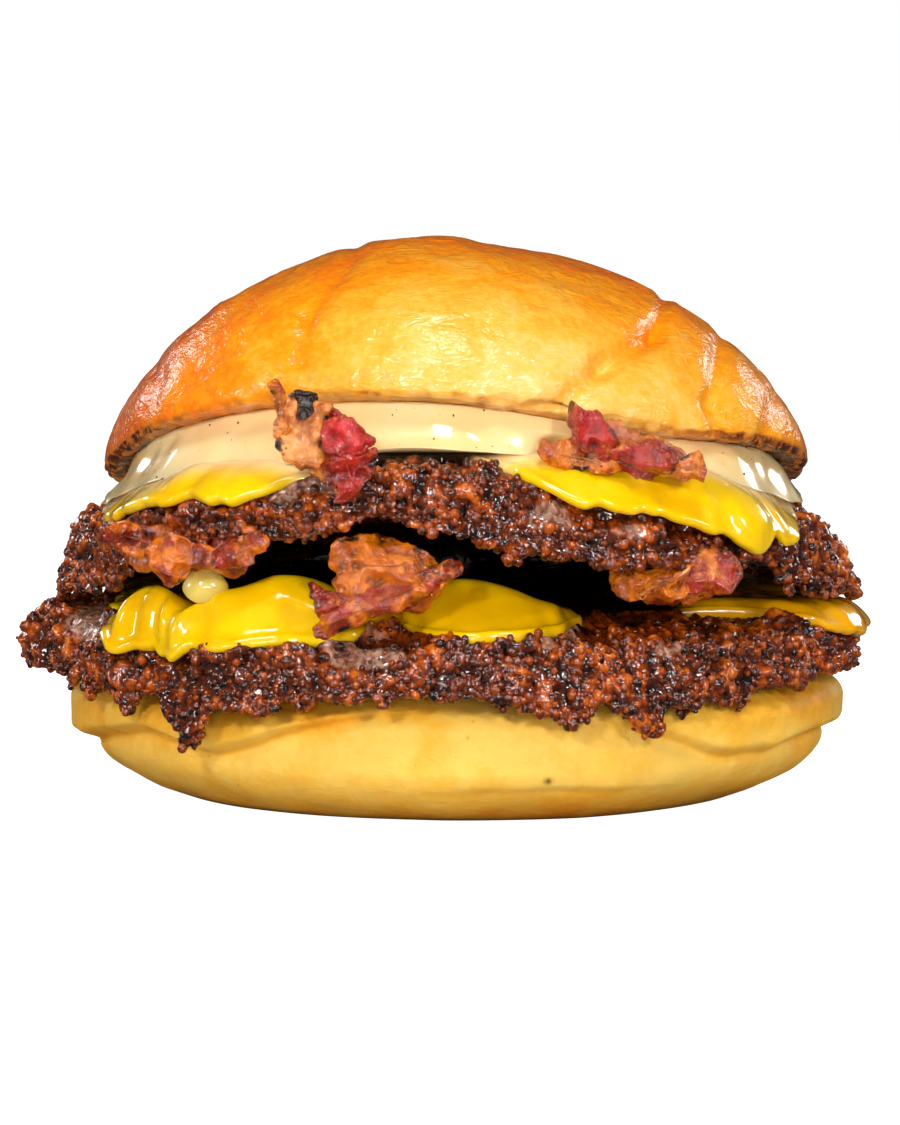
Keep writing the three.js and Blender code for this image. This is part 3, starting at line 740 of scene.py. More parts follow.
def patty(name, node_name, shape, cover, salt, material):
    """A smashed patty: its smooth skin pushed out by crags wherever the slice on it doesn't cover it."""
    columns = 1060
    angle = front_heavy(columns, 0.4)
    shares = np.concatenate([[0.2, 0.42, 0.56, 0.65], np.linspace(0.7, 0.83, 5), np.linspace(0.85, 1, 26)])
    turns = np.linspace(0, 180, 44)[1:-1]
    under = np.concatenate([np.linspace(1, 0.74, 13), [0.6, 0.4]])
    level = np.concatenate([shares, np.ones(len(turns)), under])[:, None]
    turn = np.concatenate([np.zeros(len(shares)), turns, np.full(len(under), 180)])[:, None]
    angle = np.broadcast_to(angle, (len(level), columns))
    half = PATTY_HALF + shape["fat"](angle)
    flat = shape["reach"](angle) - half
    below = turn > 90
    arc = np.radians(np.where(below, 180 - turn, turn))
    out = flat * level + half * arc
    side = np.where(below, -1, 1)
    base = on_patty(shape, angle, out, 0, side)
    ragged = 0.9 * round_the_ring(angle, 58, 7, salt + 40) + 0.6 * round_the_ring(angle, 58, 3.2, salt + 41)
    ragged = ragged + 0.5 * round_the_ring(angle, 58, 1.7, salt + 43) - 0.5
    rim = np.sin(np.minimum(np.radians(turn), np.pi)) * (level >= 0.999)
    round_rim = np.sin(np.radians(turn))
    square_rim = half * (np.sqrt(np.maximum(0, round_rim)) - round_rim) * smooth(70, 110, turn)
    slant = 0.8 * square_rim * (level >= 0.999)
    slant = slant - 0.3 * half * round_rim * np.cos(np.radians(turn)) - 0.7 * round_rim
    around = np.radians(angle)
    shift = ragged * rim + slant
    base = base + shift[..., None] * np.stack([np.cos(around), np.sin(around), 0 * around], axis=-1)
    hanging = sum(depth * hump(angle, centre, width) for centre, width, depth in shape["lobes"])
    hanging = hanging + 1.3 * np.maximum(0, round_the_ring(angle, 58, 4, salt + 42))
    hanging = hanging + 1.1 * np.maximum(0, round_the_ring(angle, 58, 2, salt + 44))
    base[..., 2] -= hanging * smooth(40, 100, turn) * smooth(181, 148, turn)
    outward = normals(base)
    height, crust = crag_height(base, salt)
    flattened = base * (0.4, 0.4, 1.3)
    x, y, z = np.moveaxis(base, -1, 0)
    spots = sum(np.exp(-(((x - a) / w) ** 2) - ((z - b) / h) ** 2) for a, b, w, h in shape["bare"]) * (y < 0)
    blots = noise(flattened, 3.4, salt + 50) + 0.35 * noise(base, 2.0, salt + 51)
    patches = smooth(0.42, 0.6, blots * smooth(-4, 12, 30 - np.abs(x)) + 0.85 * spots)
    patches = patches * smooth(150, 60, turn)
    height = height * (1 - 0.75 * patches) - 0.3 * patches
    from_slice = out - cover(angle)
    bare = np.where(below, 1, smooth(-2.2, 0.2, from_slice))
    heaped = np.exp(-(((from_slice - 1.1) / 1.5) ** 2))
    bank = np.where(below, 0, 1.9 * heaped * (0.6 + 0.5 * noise(base, 3.1, salt + 55)))
    height = (0.15 + 0.85 * bare) * height - 0.55 * (1 - bare) - 0.35 + bank
    grid = base + height[..., None] * outward
    meat = patches * (0.55 + 0.45 * crust)
    # painted shade: the crag mask falls towards the underside's middle, so the ramp paints it near black
    crust = crust * np.where(below, smooth(0.55, 1, level), 1)
    piece = skin(name, grid, {"crust": crust, "meat": meat}, material)
    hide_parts(node_name)
    weight = (bare * (level > 0.7) * (1 - 0.85 * patches) * (0.35 + 0.65 * rim) * (1 + 0.5 * hanging)).ravel()
    return piece, grid.reshape(-1, 3), outward.reshape(-1, 3), weight


def crust_beads(name, points, outward, weight, count, seed, material):
    """Loose crumbs of crust: small balls half sunk in the crags, thickest round the rim."""
    rng = np.random.default_rng(seed)
    picked = rng.choice(len(points), count, replace=False, p=weight / weight.sum())
    radius = 0.3 + 0.65 * rng.random(count) ** 2
    centres = points[picked] + outward[picked] * (radius * rng.uniform(-0.5, 0.3, count))[:, None]
    spans = radius[:, None] * rng.uniform(0.7, 1.25, (count, 3))
    tone = 0.05 + 0.6 * rng.random(count)
    marks = {"crust": tone, "meat": np.zeros(count)}
    return scattered(name, centres, spans, marks, material)


# Melted slices

LOWER_SLICE = {
    "on": LOWER_PATTY,
    "reach": ring(
        (0, 60.5), (14, 54), (35, 51), (50, 60), (70, 52), (95, 49), (118, 54), (135, 61), (155, 50),
        (180, 46), (205, 50), (213, 55.8), (218, 57.2), (223, 55.6), (230, 58.2), (237, 57.2), (246, 54),
        (254, 52.5), (262, 44), (268, 50.5), (278, 52.6), (288, 49.5), (297, 41), (312, 34), (328, 38),
        (341, 57), (350, 60.6), (355, 60.4),
    ),
    # mounds, where it clings to the bacon or pools: x, y, half widths across and deep, height
    "mounds": [
        (-32.6, -44, 4.4, 2.4, 3.5), (-41.5, -37.5, 6, 6, 7.0), (-21.5, -42.5, 8.6, 6, 5.2),
        (2, -41, 13, 6, 4.4), (48, -26, 6, 8, 1.2),
    ],
}
UPPER_SLICE = {
    "on": UPPER_PATTY,
    "reach": ring(
        (0, 47), (25, 49), (42, 56), (52, 60), (64, 54), (90, 48), (120, 50), (143, 54), (156, 60.5),
        (166, 56), (180, 50), (205, 53), (220, 56.4), (236, 56.6), (246, 53), (254, 48), (264, 44),
        (273, 46.5), (281, 53.6), (288, 56.6), (300, 58), (308, 58.6), (315, 60.8), (320, 58), (325, 58),
        (331, 54), (350, 47),
    ),
    "mounds": [(30, -44, 12, 5, 0.9), (-36, -40, 8, 6, 0.6)],
}


def slice_edge(shape, angle, salt):
    """The slice's reach with small runs and drips, worked out from noise round its edge."""
    runs = 0.7 * round_the_ring(angle, 55, 9, salt) + 0.7 * round_the_ring(angle, 55, 4, salt + 1)
    return shape["reach"](angle) + runs + 0.55 * round_the_ring(angle, 55, 2.1, salt + 2)


def cheese(name, node_name, shape, salt, material):
    """A melted slice: a sheet that follows the meat, a little thicker at its round edge, with mounds and waves."""
    columns = 900
    edge_round = 0.8
    angle = front_heavy(columns, 0.35)
    shares = np.concatenate([[0.2, 0.45, 0.6, 0.68], np.linspace(0.72, 1, 38)])
    arcs = np.linspace(90, -90, 16)[1:-1]
    under = np.linspace(1, 0.72, 16)
    level = np.concatenate([shares, np.ones(len(arcs)), under])[:, None]
    turn = np.radians(np.concatenate([np.full(len(shares), 90), arcs, np.full(len(under), -90)]))[:, None]
    angle = np.broadcast_to(angle, (len(level), columns))
    edge = slice_edge(shape, angle, salt) - edge_round
    out = edge * level + edge_round * np.cos(turn)
    from_edge = edge - edge * level
    bulge = (edge_round - CHEESE_THICK / 2) * np.exp(-((from_edge / 2.6) ** 2))
    half = CHEESE_THICK / 2 + bulge
    low = 0.15 - 0.75 * np.exp(-((from_edge / 3.2) ** 2))
    middle = low + half
    on_meat = on_patty(shape["on"], angle, out, 0)
    x, y = on_meat[..., 0], on_meat[..., 1]
    mounds = sum(h * np.exp(-(((x - a) / w) ** 2) - ((y - b) / d) ** 2) for a, b, w, d, h in shape["mounds"])
    upper = smooth(-0.2, 0.6, np.sin(turn))
    waves = 0.4 * noise(on_meat, 6.5, salt + 3) + 0.3 * noise(on_meat, 3.4, salt + 4)
    stuck = 1.1 * smooth(2, 24, y)
    lift = middle + half * np.sin(turn) + (mounds * smooth(0, 2.6, from_edge) + waves + 0.2 + stuck) * upper
    grid = on_patty(shape["on"], angle, out, lift)
    # painted shade: deeper orange inwards from the edge, under the sauce and the patty above; on the lower slice
    # taken away at the front middle and laid over its right side
    shade = smooth(6, 14, from_edge) * upper
    if shape is LOWER_SLICE:
        shade = np.maximum(shade * (1 - hump(angle, 274, 22)), 0.9 * hump(angle, 334, 34))
    from_sauce = np.hypot(x - BUN_X, y) - sauce_edge(angle, 1.0) + 1.2 * noise(on_meat, 5, salt + 5)
    cream = smooth(3.2, -0.4, from_sauce) * (shape is UPPER_SLICE)
    # painted shade: near black on the lower slice's inner part seen in the gap between the patties, and on the
    # upper slice under the sauce's edge
    if shape is LOWER_SLICE:
        painted_deep_shade = smooth(0, -6, out - 40 - 9 * hump(angle, 313, 15))
    else:
        painted_deep_shade = smooth(-1.6, -3.4, from_sauce)
    piece = skin(name, grid, {"shade": shade, "cream": cream, "painted_deep_shade": painted_deep_shade}, material)
    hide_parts(node_name)
    return piece


# Crown of the bun

def cut_height(x, y):
    """Height of the crown's cut face: level at the back, rising to the open front, with sagging sides."""
    out = np.hypot(x - BUN_X, y) / CROWN_RADIUS
    angle = np.degrees(np.arctan2(y, x - BUN_X))
    sag = 2.2 * hump(angle, 0, 30) + 2.4 * hump(angle, 180, 30) + 3.8 * hump(angle, 304, 30)
    return CUT_LEVEL + CUT_SLOPE * front_rise(y) - sag * smooth(0.4, 1, out)


# Dents baked into the front of the dome: ends in x and z, half width, depth
DENTS = [
    ((14, 55), (22, 62.5), 2.0, 1.2),
    ((22, 62.5), (29.5, 66.5), 1.6, 1.5),
    ((29.5, 66.5), (31, 70), 1.1, 0.8),
    ((39, 50), (37.2, 57), 1.5, 0.9),
    ((37.2, 57), (38.5, 64), 1.3, 0.8),
    ((-19.5, 63), (-18.5, 69), 1.2, 0.7),
    ((-18.5, 69), (-12, 77), 1.3, 0.5),
    ((-43, 50), (-39.5, 60), 1.6, 0.5),
    ((-39.5, 60), (-33, 68), 1.4, 0.35),
    ((44, 48), (46, 56), 1.4, 0.6),
    ((8, 58), (14, 55.5), 2.4, 0.5),
]


def dent_depth(x, y, z):
    """Depth of the dents: each a valley exp(-(distance to its line / half width)^2) on the front."""
    front = smooth(8, -12, y)
    total = 0
    for start, end, width, depth in DENTS:
        along = np.subtract(end, start)
        share = ((x - start[0]) * along[0] + (z - start[1]) * along[1]) / (along @ along)
        t = np.clip(share, 0, 1)
        away = np.hypot(x - start[0] - t * along[0], z - start[1] - t * along[1])
        total = total + depth * front * np.exp(-((away / width) ** 2))
    return total


def crown(material):
    """The crown: a leaning dome over a rounded lip and a cut face, with dents, soft swells and crinkled skin.

    The dome is a circle's sine and cosine, drawn in a little by the sine; noise along its normals does the rest.
    """
    columns = 760
    lip = 1.7
    angle = front_heavy(columns, 0.35)
    rises = np.concatenate([np.linspace(88.5, 4, 96), [2.5, 1]])
    unders = np.linspace(6, 90, 16)
    faces = np.array([0.93, 0.8, 0.6, 0.3])
    rise = np.radians(np.concatenate([rises, np.zeros(len(unders) + len(faces))]))[:, None]
    under = np.radians(np.concatenate([np.zeros(len(rises)), unders, np.full(len(faces), 90)]))[:, None]
    inward = np.concatenate([np.ones(len(rises) + len(unders)), faces])[:, None]
    angle = np.broadcast_to(angle, (len(rise), columns))
    around = np.radians(angle)
    rim_x = BUN_X + CROWN_RADIUS * np.cos(around)
    rim_y = CROWN_RADIUS * np.sin(around)
    ends = hump(angle, 192, 26) + hump(angle, 346, 30)
    ragged = 0.45 * round_the_ring(angle, 50, 6, 300)
    torn = 0.35 * round_the_ring(angle, 50, 2.2, 301) + 0.25 * round_the_ring(angle, 50, 1.1, 302)
    ragged = ragged + torn * (1 - 0.85 * np.clip(ends, 0, 1))
    rim = cut_height(rim_x, rim_y) + lip
    slim = 0.125 + 0.015 * np.cos(around)
    dome = np.cos(rise) * (1 - slim * np.sin(rise))
    tuck = (lip / CROWN_RADIUS) * (1 - np.cos(under))
    out = np.where(rise > 0, dome, (1 - tuck) * inward)
    x = BUN_X + CROWN_RADIUS * out * np.cos(around)
    y = CROWN_RADIUS * out * np.sin(around)
    dome_z = CROWN_LEVEL + (rim - CROWN_LEVEL) * out + CROWN_RISE * np.sin(rise)
    lip_z = rim - lip * np.sin(under)
    z = np.where(rise > 0, dome_z, np.where(inward > 0.999, lip_z, cut_height(x, y)))
    z = z + ragged * smooth(0.975, 1, out) * smooth(90, 60, np.degrees(under))
    grid = np.stack([x, y, z], axis=-1)
    outward = normals(grid)
    crumb = smooth(40, 80, np.degrees(under)) * np.ones_like(angle)
    swell = 0.45 * noise(grid, 17, 310) + 0.2 * noise(grid, 7, 311)
    stretched = grid * (0.6, 0.6, 1.3)
    crinkle = 0.2 * (1 - 2 * np.abs(layered(stretched, 3.4, 3, 312)))
    rough = 0.25 * noise(grid, 1.6, 313) * crumb
    crumbly = smooth(10, 40, np.degrees(under)) * np.clip(ends, 0, 1)
    rough = rough + (0.55 * noise(grid, 2.1, 314) + 0.4 * noise(grid, 1.0, 315)) * crumbly
    shift = (swell + crinkle) * (1 - crumb) + rough - dent_depth(x, y, z) * (1 - crumb)
    grid = grid + (shift * smooth(0.02, 0.2, out))[..., None] * outward
    # The bake mask is real bake, paler low down, with painted light on it: paler still at the lit front, and
    # painted shade on the left and right sides and in the dents.
    front = hump(angle, 278, 60) * smooth(0.35, 0.95, out)
    low = smooth(24, 2, z - rim)
    pale = low * (0.35 + 0.75 * hump(angle, 285, 48)) + 0.22 * hump(angle, 278, 34) * smooth(0.3, 0.75, out)
    dent_shade = np.clip(dent_depth(x, y, z), 0, 1)
    side = 0.2 * hump(angle, 200, 42) * smooth(0.6, 1, out) + 0.1 * hump(angle, 350, 36) * smooth(0.7, 1, out)
    bake_and_shade = np.clip(0.72 - 0.42 * pale + side - 0.08 * front + 0.1 * dent_shade, 0, 1)
    lip_line = smooth(4, 30, np.degrees(under)) * np.ones_like(angle)
    toast = lip_line * np.clip(0.1 + 1.0 * ends + 0.42 * noise(grid, 1.8, 320), 0, 1)
    piece = skin("crown_crust", grid, {"bake_and_shade": bake_and_shade, "toast": toast}, material)
    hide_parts("crown")
    return piece


# Heel of the bun

PLEAT_Z = ring(
    (0, 9), (45, 10), (90, 8.5), (135, 9.8), (180, 7.4), (217, 11.2), (229, 9.4), (236, 10.3),
    (246, 13), (258, 15.4), (272, 16), (290, 14.6), (301, 12.6), (312, 9.2), (323, 8.3), (333, 9.6),
)
PLEAT_DEPTH = ring(
    (0, 2), (60, 1.5), (120, 1.9), (180, 2.5), (230, 2.4), (246, 1.7), (260, 1), (270, 0.2),
    (292, 0.1), (301, 0.9), (314, 1.9), (335, 2.1),
)
HEEL_BASE_ROUND = 8.0
HEEL_BASE_TUCK = 11.0
HEEL_TOP_ROUND = 5.5
HEEL_TOP_TUCK = 8.0
PLEAT_HALF = 0.75
PLEAT_STEP = 1.3


def heel(material):
    """The heel: a squashed roll with a sharp pleat under its lip and a low fold.

    Its radius is a circle less squares of the height near base and top, and a bell of the height for the pleat.
    """
    columns = 640
    angle = np.arange(columns) * 360 / columns
    below = np.linspace(0, 1, 54)[:, None]
    above = np.linspace(0, 1, 44)[1:, None]
    pleat = PLEAT_Z(angle) + 0.35 * round_the_ring(angle, 54, 6, 400)
    z = np.concatenate([pleat * below, pleat + (HEEL_HEIGHT - pleat) * above])[::-1]
    angle = np.broadcast_to(angle, z.shape)
    side = HEEL_RADIUS + 0.7 * np.cos(2 * np.radians(angle)) + 0.4 * np.sin(5 * np.radians(angle))
    under = HEEL_BASE_TUCK * np.maximum(0, 1 - z / HEEL_BASE_ROUND) ** 2
    over = HEEL_TOP_TUCK * np.maximum(0, 1 - (HEEL_HEIGHT - z) / HEEL_TOP_ROUND) ** 2
    depth = PLEAT_DEPTH(angle)
    from_pleat = z - pleat
    groove = depth * np.exp(-((from_pleat / PLEAT_HALF) ** 2))
    below_lip = PLEAT_STEP * depth * smooth(0.4, -1.2, from_pleat)
    fold_z = 4.4 + 1.1 * np.cos(np.radians(3.2 * (angle - 282)))
    fold = 0.75 * hump(angle, 286, 20) * smooth(fold_z + 0.5, fold_z - 0.7, z)
    fold = fold + 0.6 * hump(angle, 292, 16) * smooth(15.4, 14, z) * smooth(9.6, 13, z)
    radius = side - under - over - groove - below_lip - fold
    around = np.radians(angle)
    grid = np.stack([BUN_X + radius * np.cos(around), radius * np.sin(around), z], axis=-1)
    inner_top = [grid[:1] * (s, s, 1) + ((1 - s) * BUN_X, 0, 0) for s in (0.35, 0.7)]
    inner_base = [grid[-1:] * (s, s, 1) + ((1 - s) * BUN_X, 0, 0) for s in (0.7, 0.35)]
    grid = np.concatenate([*inner_top, grid, *inner_base])
    outward = normals(grid)
    wall = smooth(0, 1.6, grid[..., 2])
    swell = 0.35 * noise(grid, 12, 401) + 0.18 * noise(grid, 5, 402)
    crinkle = 0.07 * (1 - 2 * np.abs(layered(grid * (0.8, 0.8, 1.3), 3, 3, 403)))
    grid = grid + ((swell + crinkle) * wall)[..., None] * outward
    grid[..., 2] = np.maximum(grid[..., 2], 0)
    full = lambda values: np.concatenate([values[:1], values[:1], values, values[-1:], values[-1:]])
    z, angle, from_pleat, fold = full(z), full(angle), full(from_pleat), full(fold)
    lip = smooth(0.0, 1.2, from_pleat) * hump(angle, 262, 62)
    golden_top = smooth(10, 17, z) * (0.1 + 0.25 * hump(angle, 238, 20) + 0.2 * hump(angle, 330, 30))
    # painted shade: darker in the pleat's groove
    groove = np.exp(-((from_pleat / 0.5) ** 2)) * np.clip(full(depth), 0, 1)
    # a golden base as baked, plus painted shade in the low fold
    base_gold_and_fold_shade = smooth(4.6, 0.6, z) * 0.3 + 0.25 * np.clip(fold, 0, 1)
    bake_and_shade = np.clip(0.06 + golden_top + 0.05 * lip + 0.2 * groove + base_gold_and_fold_shade, 0, 1)
    # painted shade: darker on the left and right sides
    bake_and_shade = np.clip(bake_and_shade + 0.18 * hump(angle, 200, 34) + 0.14 * hump(angle, 345, 30), 0, 1)
    speck = np.exp(-(((angle - 283.4) / 0.55) ** 2 + ((z - 6.6) / 0.5) ** 2))
    toast = np.clip(smooth(1.3, 0.0, z) * 0.5 + speck, 0, 1)
    piece = skin("heel_crust", grid, {"bake_and_shade": bake_and_shade, "toast": toast}, material)
    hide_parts("heel")
    return piece


# Sauce

SAUCE_REACH = ring(
    (0, 46.5), (40, 45), (90, 46), (140, 45), (180, 47.5), (205, 48.3), (235, 47.4), (270, 47.6),
    (300, 47.6), (335, 48),
)


def sauce_edge(angle, slope):
    """Radius of the sauce's wall at a share of the way down."""
    bulge = (0.9 + 0.5 * round_the_ring(angle, 49, 9, 502)) * np.sin(np.pi * slope)
    runs = 1.1 * round_the_ring(angle, 49, 12, 500) + 0.6 * round_the_ring(angle, 49, 5, 501)
    run = 3.0 + runs + 2.6 * hump(angle, 222, 20) + 1.4 * hump(angle, 322, 14) + 1.0 * hump(angle, 262, 12)
    return SAUCE_REACH(angle) - 1.2 + bulge + run * slope**3


def on_upper_cheese(x, y):
    """Height of the upper slice's top at a place, as the sauce finds it."""
    out = np.hypot(x - UPPER_PATTY["x"], y)
    angle = np.degrees(np.arctan2(y, x - UPPER_PATTY["x"]))
    return on_patty(UPPER_PATTY, angle, out, LAY + CHEESE_THICK)[..., 2]


def sauce(material):
    """The sauce: a wedge between cheese and crown; its wall bulges a little and runs out thin on the cheese.

    From top to bottom its radius grows by a half sine (the bulge) and by the third power of the way down (the
    run), both changed by noise round the stack.
    """
    columns = 900
    angle = front_heavy(columns, 0.3)
    slopes = np.linspace(0, 1, 50)
    inner = np.array([0.3, 0.6, 0.8])
    slope = np.concatenate([np.zeros(3), slopes, np.ones(3)])[:, None]
    share = np.concatenate([inner, np.ones(len(slopes)), inner[::-1]])[:, None]
    angle = np.broadcast_to(angle, (len(slope), columns))
    around = np.radians(angle)
    radius = sauce_edge(angle, slope) * share - 3.6 * hump(angle, 286.5, 2.6) * smooth(0.35, 0.8, slope)
    x = BUN_X + radius * np.cos(around)
    y = radius * np.sin(around)
    high = cut_height(x, y) + 0.1
    low = on_upper_cheese(x, y) - 0.45
    z = np.maximum(low, high + (low - high) * slope**0.85)
    grid = np.stack([x, y, z], axis=-1)
    outward = normals(grid)
    wall = np.sin(np.pi * np.clip(slope, 0, 1))
    waves = 0.55 * noise(grid * (1, 1, 0.6), 7.5, 503) + 0.25 * noise(grid, 3.6, 504)
    grid = grid + (waves * wall)[..., None] * outward
    piece = skin("sauce_body", grid, {}, material)
    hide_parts("sauce")
    return piece, grid[3:-3].reshape(-1, 3), outward[3:-3].reshape(-1, 3)


def pepper(points, outward, count, seed, material):
    """Flecks of ground pepper, flat on the sauce's wall."""
    rng = np.random.default_rng(seed)
    picked = rng.choice(len(points), count, replace=False)
    size = 0.06 + 0.16 * rng.random(count) ** 3
    spans = size[:, None] * rng.uniform(0.6, 1.3, (count, 3))
    return scattered("sauce_flecks", points[picked] + 0.02 * outward[picked], spans, {}, material, 3, 5)


# Bacon

# Each scrap: place, outline radii every 45 degrees from its right end, lean and swing in degrees, height of its
# waves, stripes of lean (direction in degrees, pitch in mm, phase), crispness and charred spots (u, v, radius)
RASHER_HALF = 1.0
SCRAPS = {
    "bacon_upper_left": {
        "at": (-15, -52.3, 52.2), "outline": (4.4, 4, 5, 6.4, 3.6, 3.8, 5, 6.4), "lean": 12, "swing": -6,
        "curl": 1.0, "stripes": (-8, 15, 0.1), "crisp": 0.4, "char_and_crease_shade": [(-4.5, -4, 1.6)],
    },
    "bacon_upper_right": {
        "at": (25, -47.6, 50.8), "outline": (8.4, 3.4, 3, 6, 8.2, 3.4, 3, 4.8), "lean": 24, "swing": 14,
        "curl": 1.0, "stripes": (70, 9, 0.3), "crisp": 0.6, "char_and_crease_shade": [(-6, -2, 1.8)],
    },
    "bacon_middle_left": {
        "at": (-34.4, -42, 36.8), "outline": (10, 3.4, 2.6, 5, 10, 3.6, 3.6, 3.4), "lean": 40, "swing": -26,
        "curl": 1.0, "stripes": (78, 8, 0.15), "crisp": 0.9, "char_and_crease_shade": [(9, 2, 1.6)],
    },
    "bacon_middle": {
        "at": (-7.4, -50.4, 33.4), "outline": (8.4, 6, 6, 6, 6.4, 7.4, 4.4, 5.4), "lean": 30, "swing": -4,
        "curl": 1.4, "stripes": (64, 17, 0.62), "crisp": 0.9, "char_and_crease_shade": [(8, 1.5, 1.5)],
    },
    "bacon_middle_right": {
        "at": (32, -42.5, 33.4), "outline": (7, 4.6, 3.6, 4, 7, 4.2, 3.4, 4.6), "lean": 34, "swing": 24,
        "curl": 1.0, "stripes": (20, 12, 0.45), "crisp": 0.9, "char_and_crease_shade": [(-4, 0.5, 1.6)],
    },
    "bacon_back_left": {
        "at": (-21, 51.5, 40.4), "outline": (10.4, 6, 4.6, 6.6, 9.6, 6.4, 6.4, 7.6), "lean": 66, "swing": 202,
        "curl": 1.2, "stripes": (75, 9, 0.2), "crisp": 0.6, "char_and_crease_shade": [(4, 2, 1.4)],
    },
    "bacon_back_right": {
        "at": (30, 48, 40.8), "outline": (9.6, 6, 4.6, 6, 10.4, 7.4, 5.6, 6.8), "lean": 62, "swing": 150,
        "curl": 1.2, "stripes": (80, 8, 0.5), "crisp": 0.55, "char_and_crease_shade": [(-4, 1, 1.4)],
    },
}

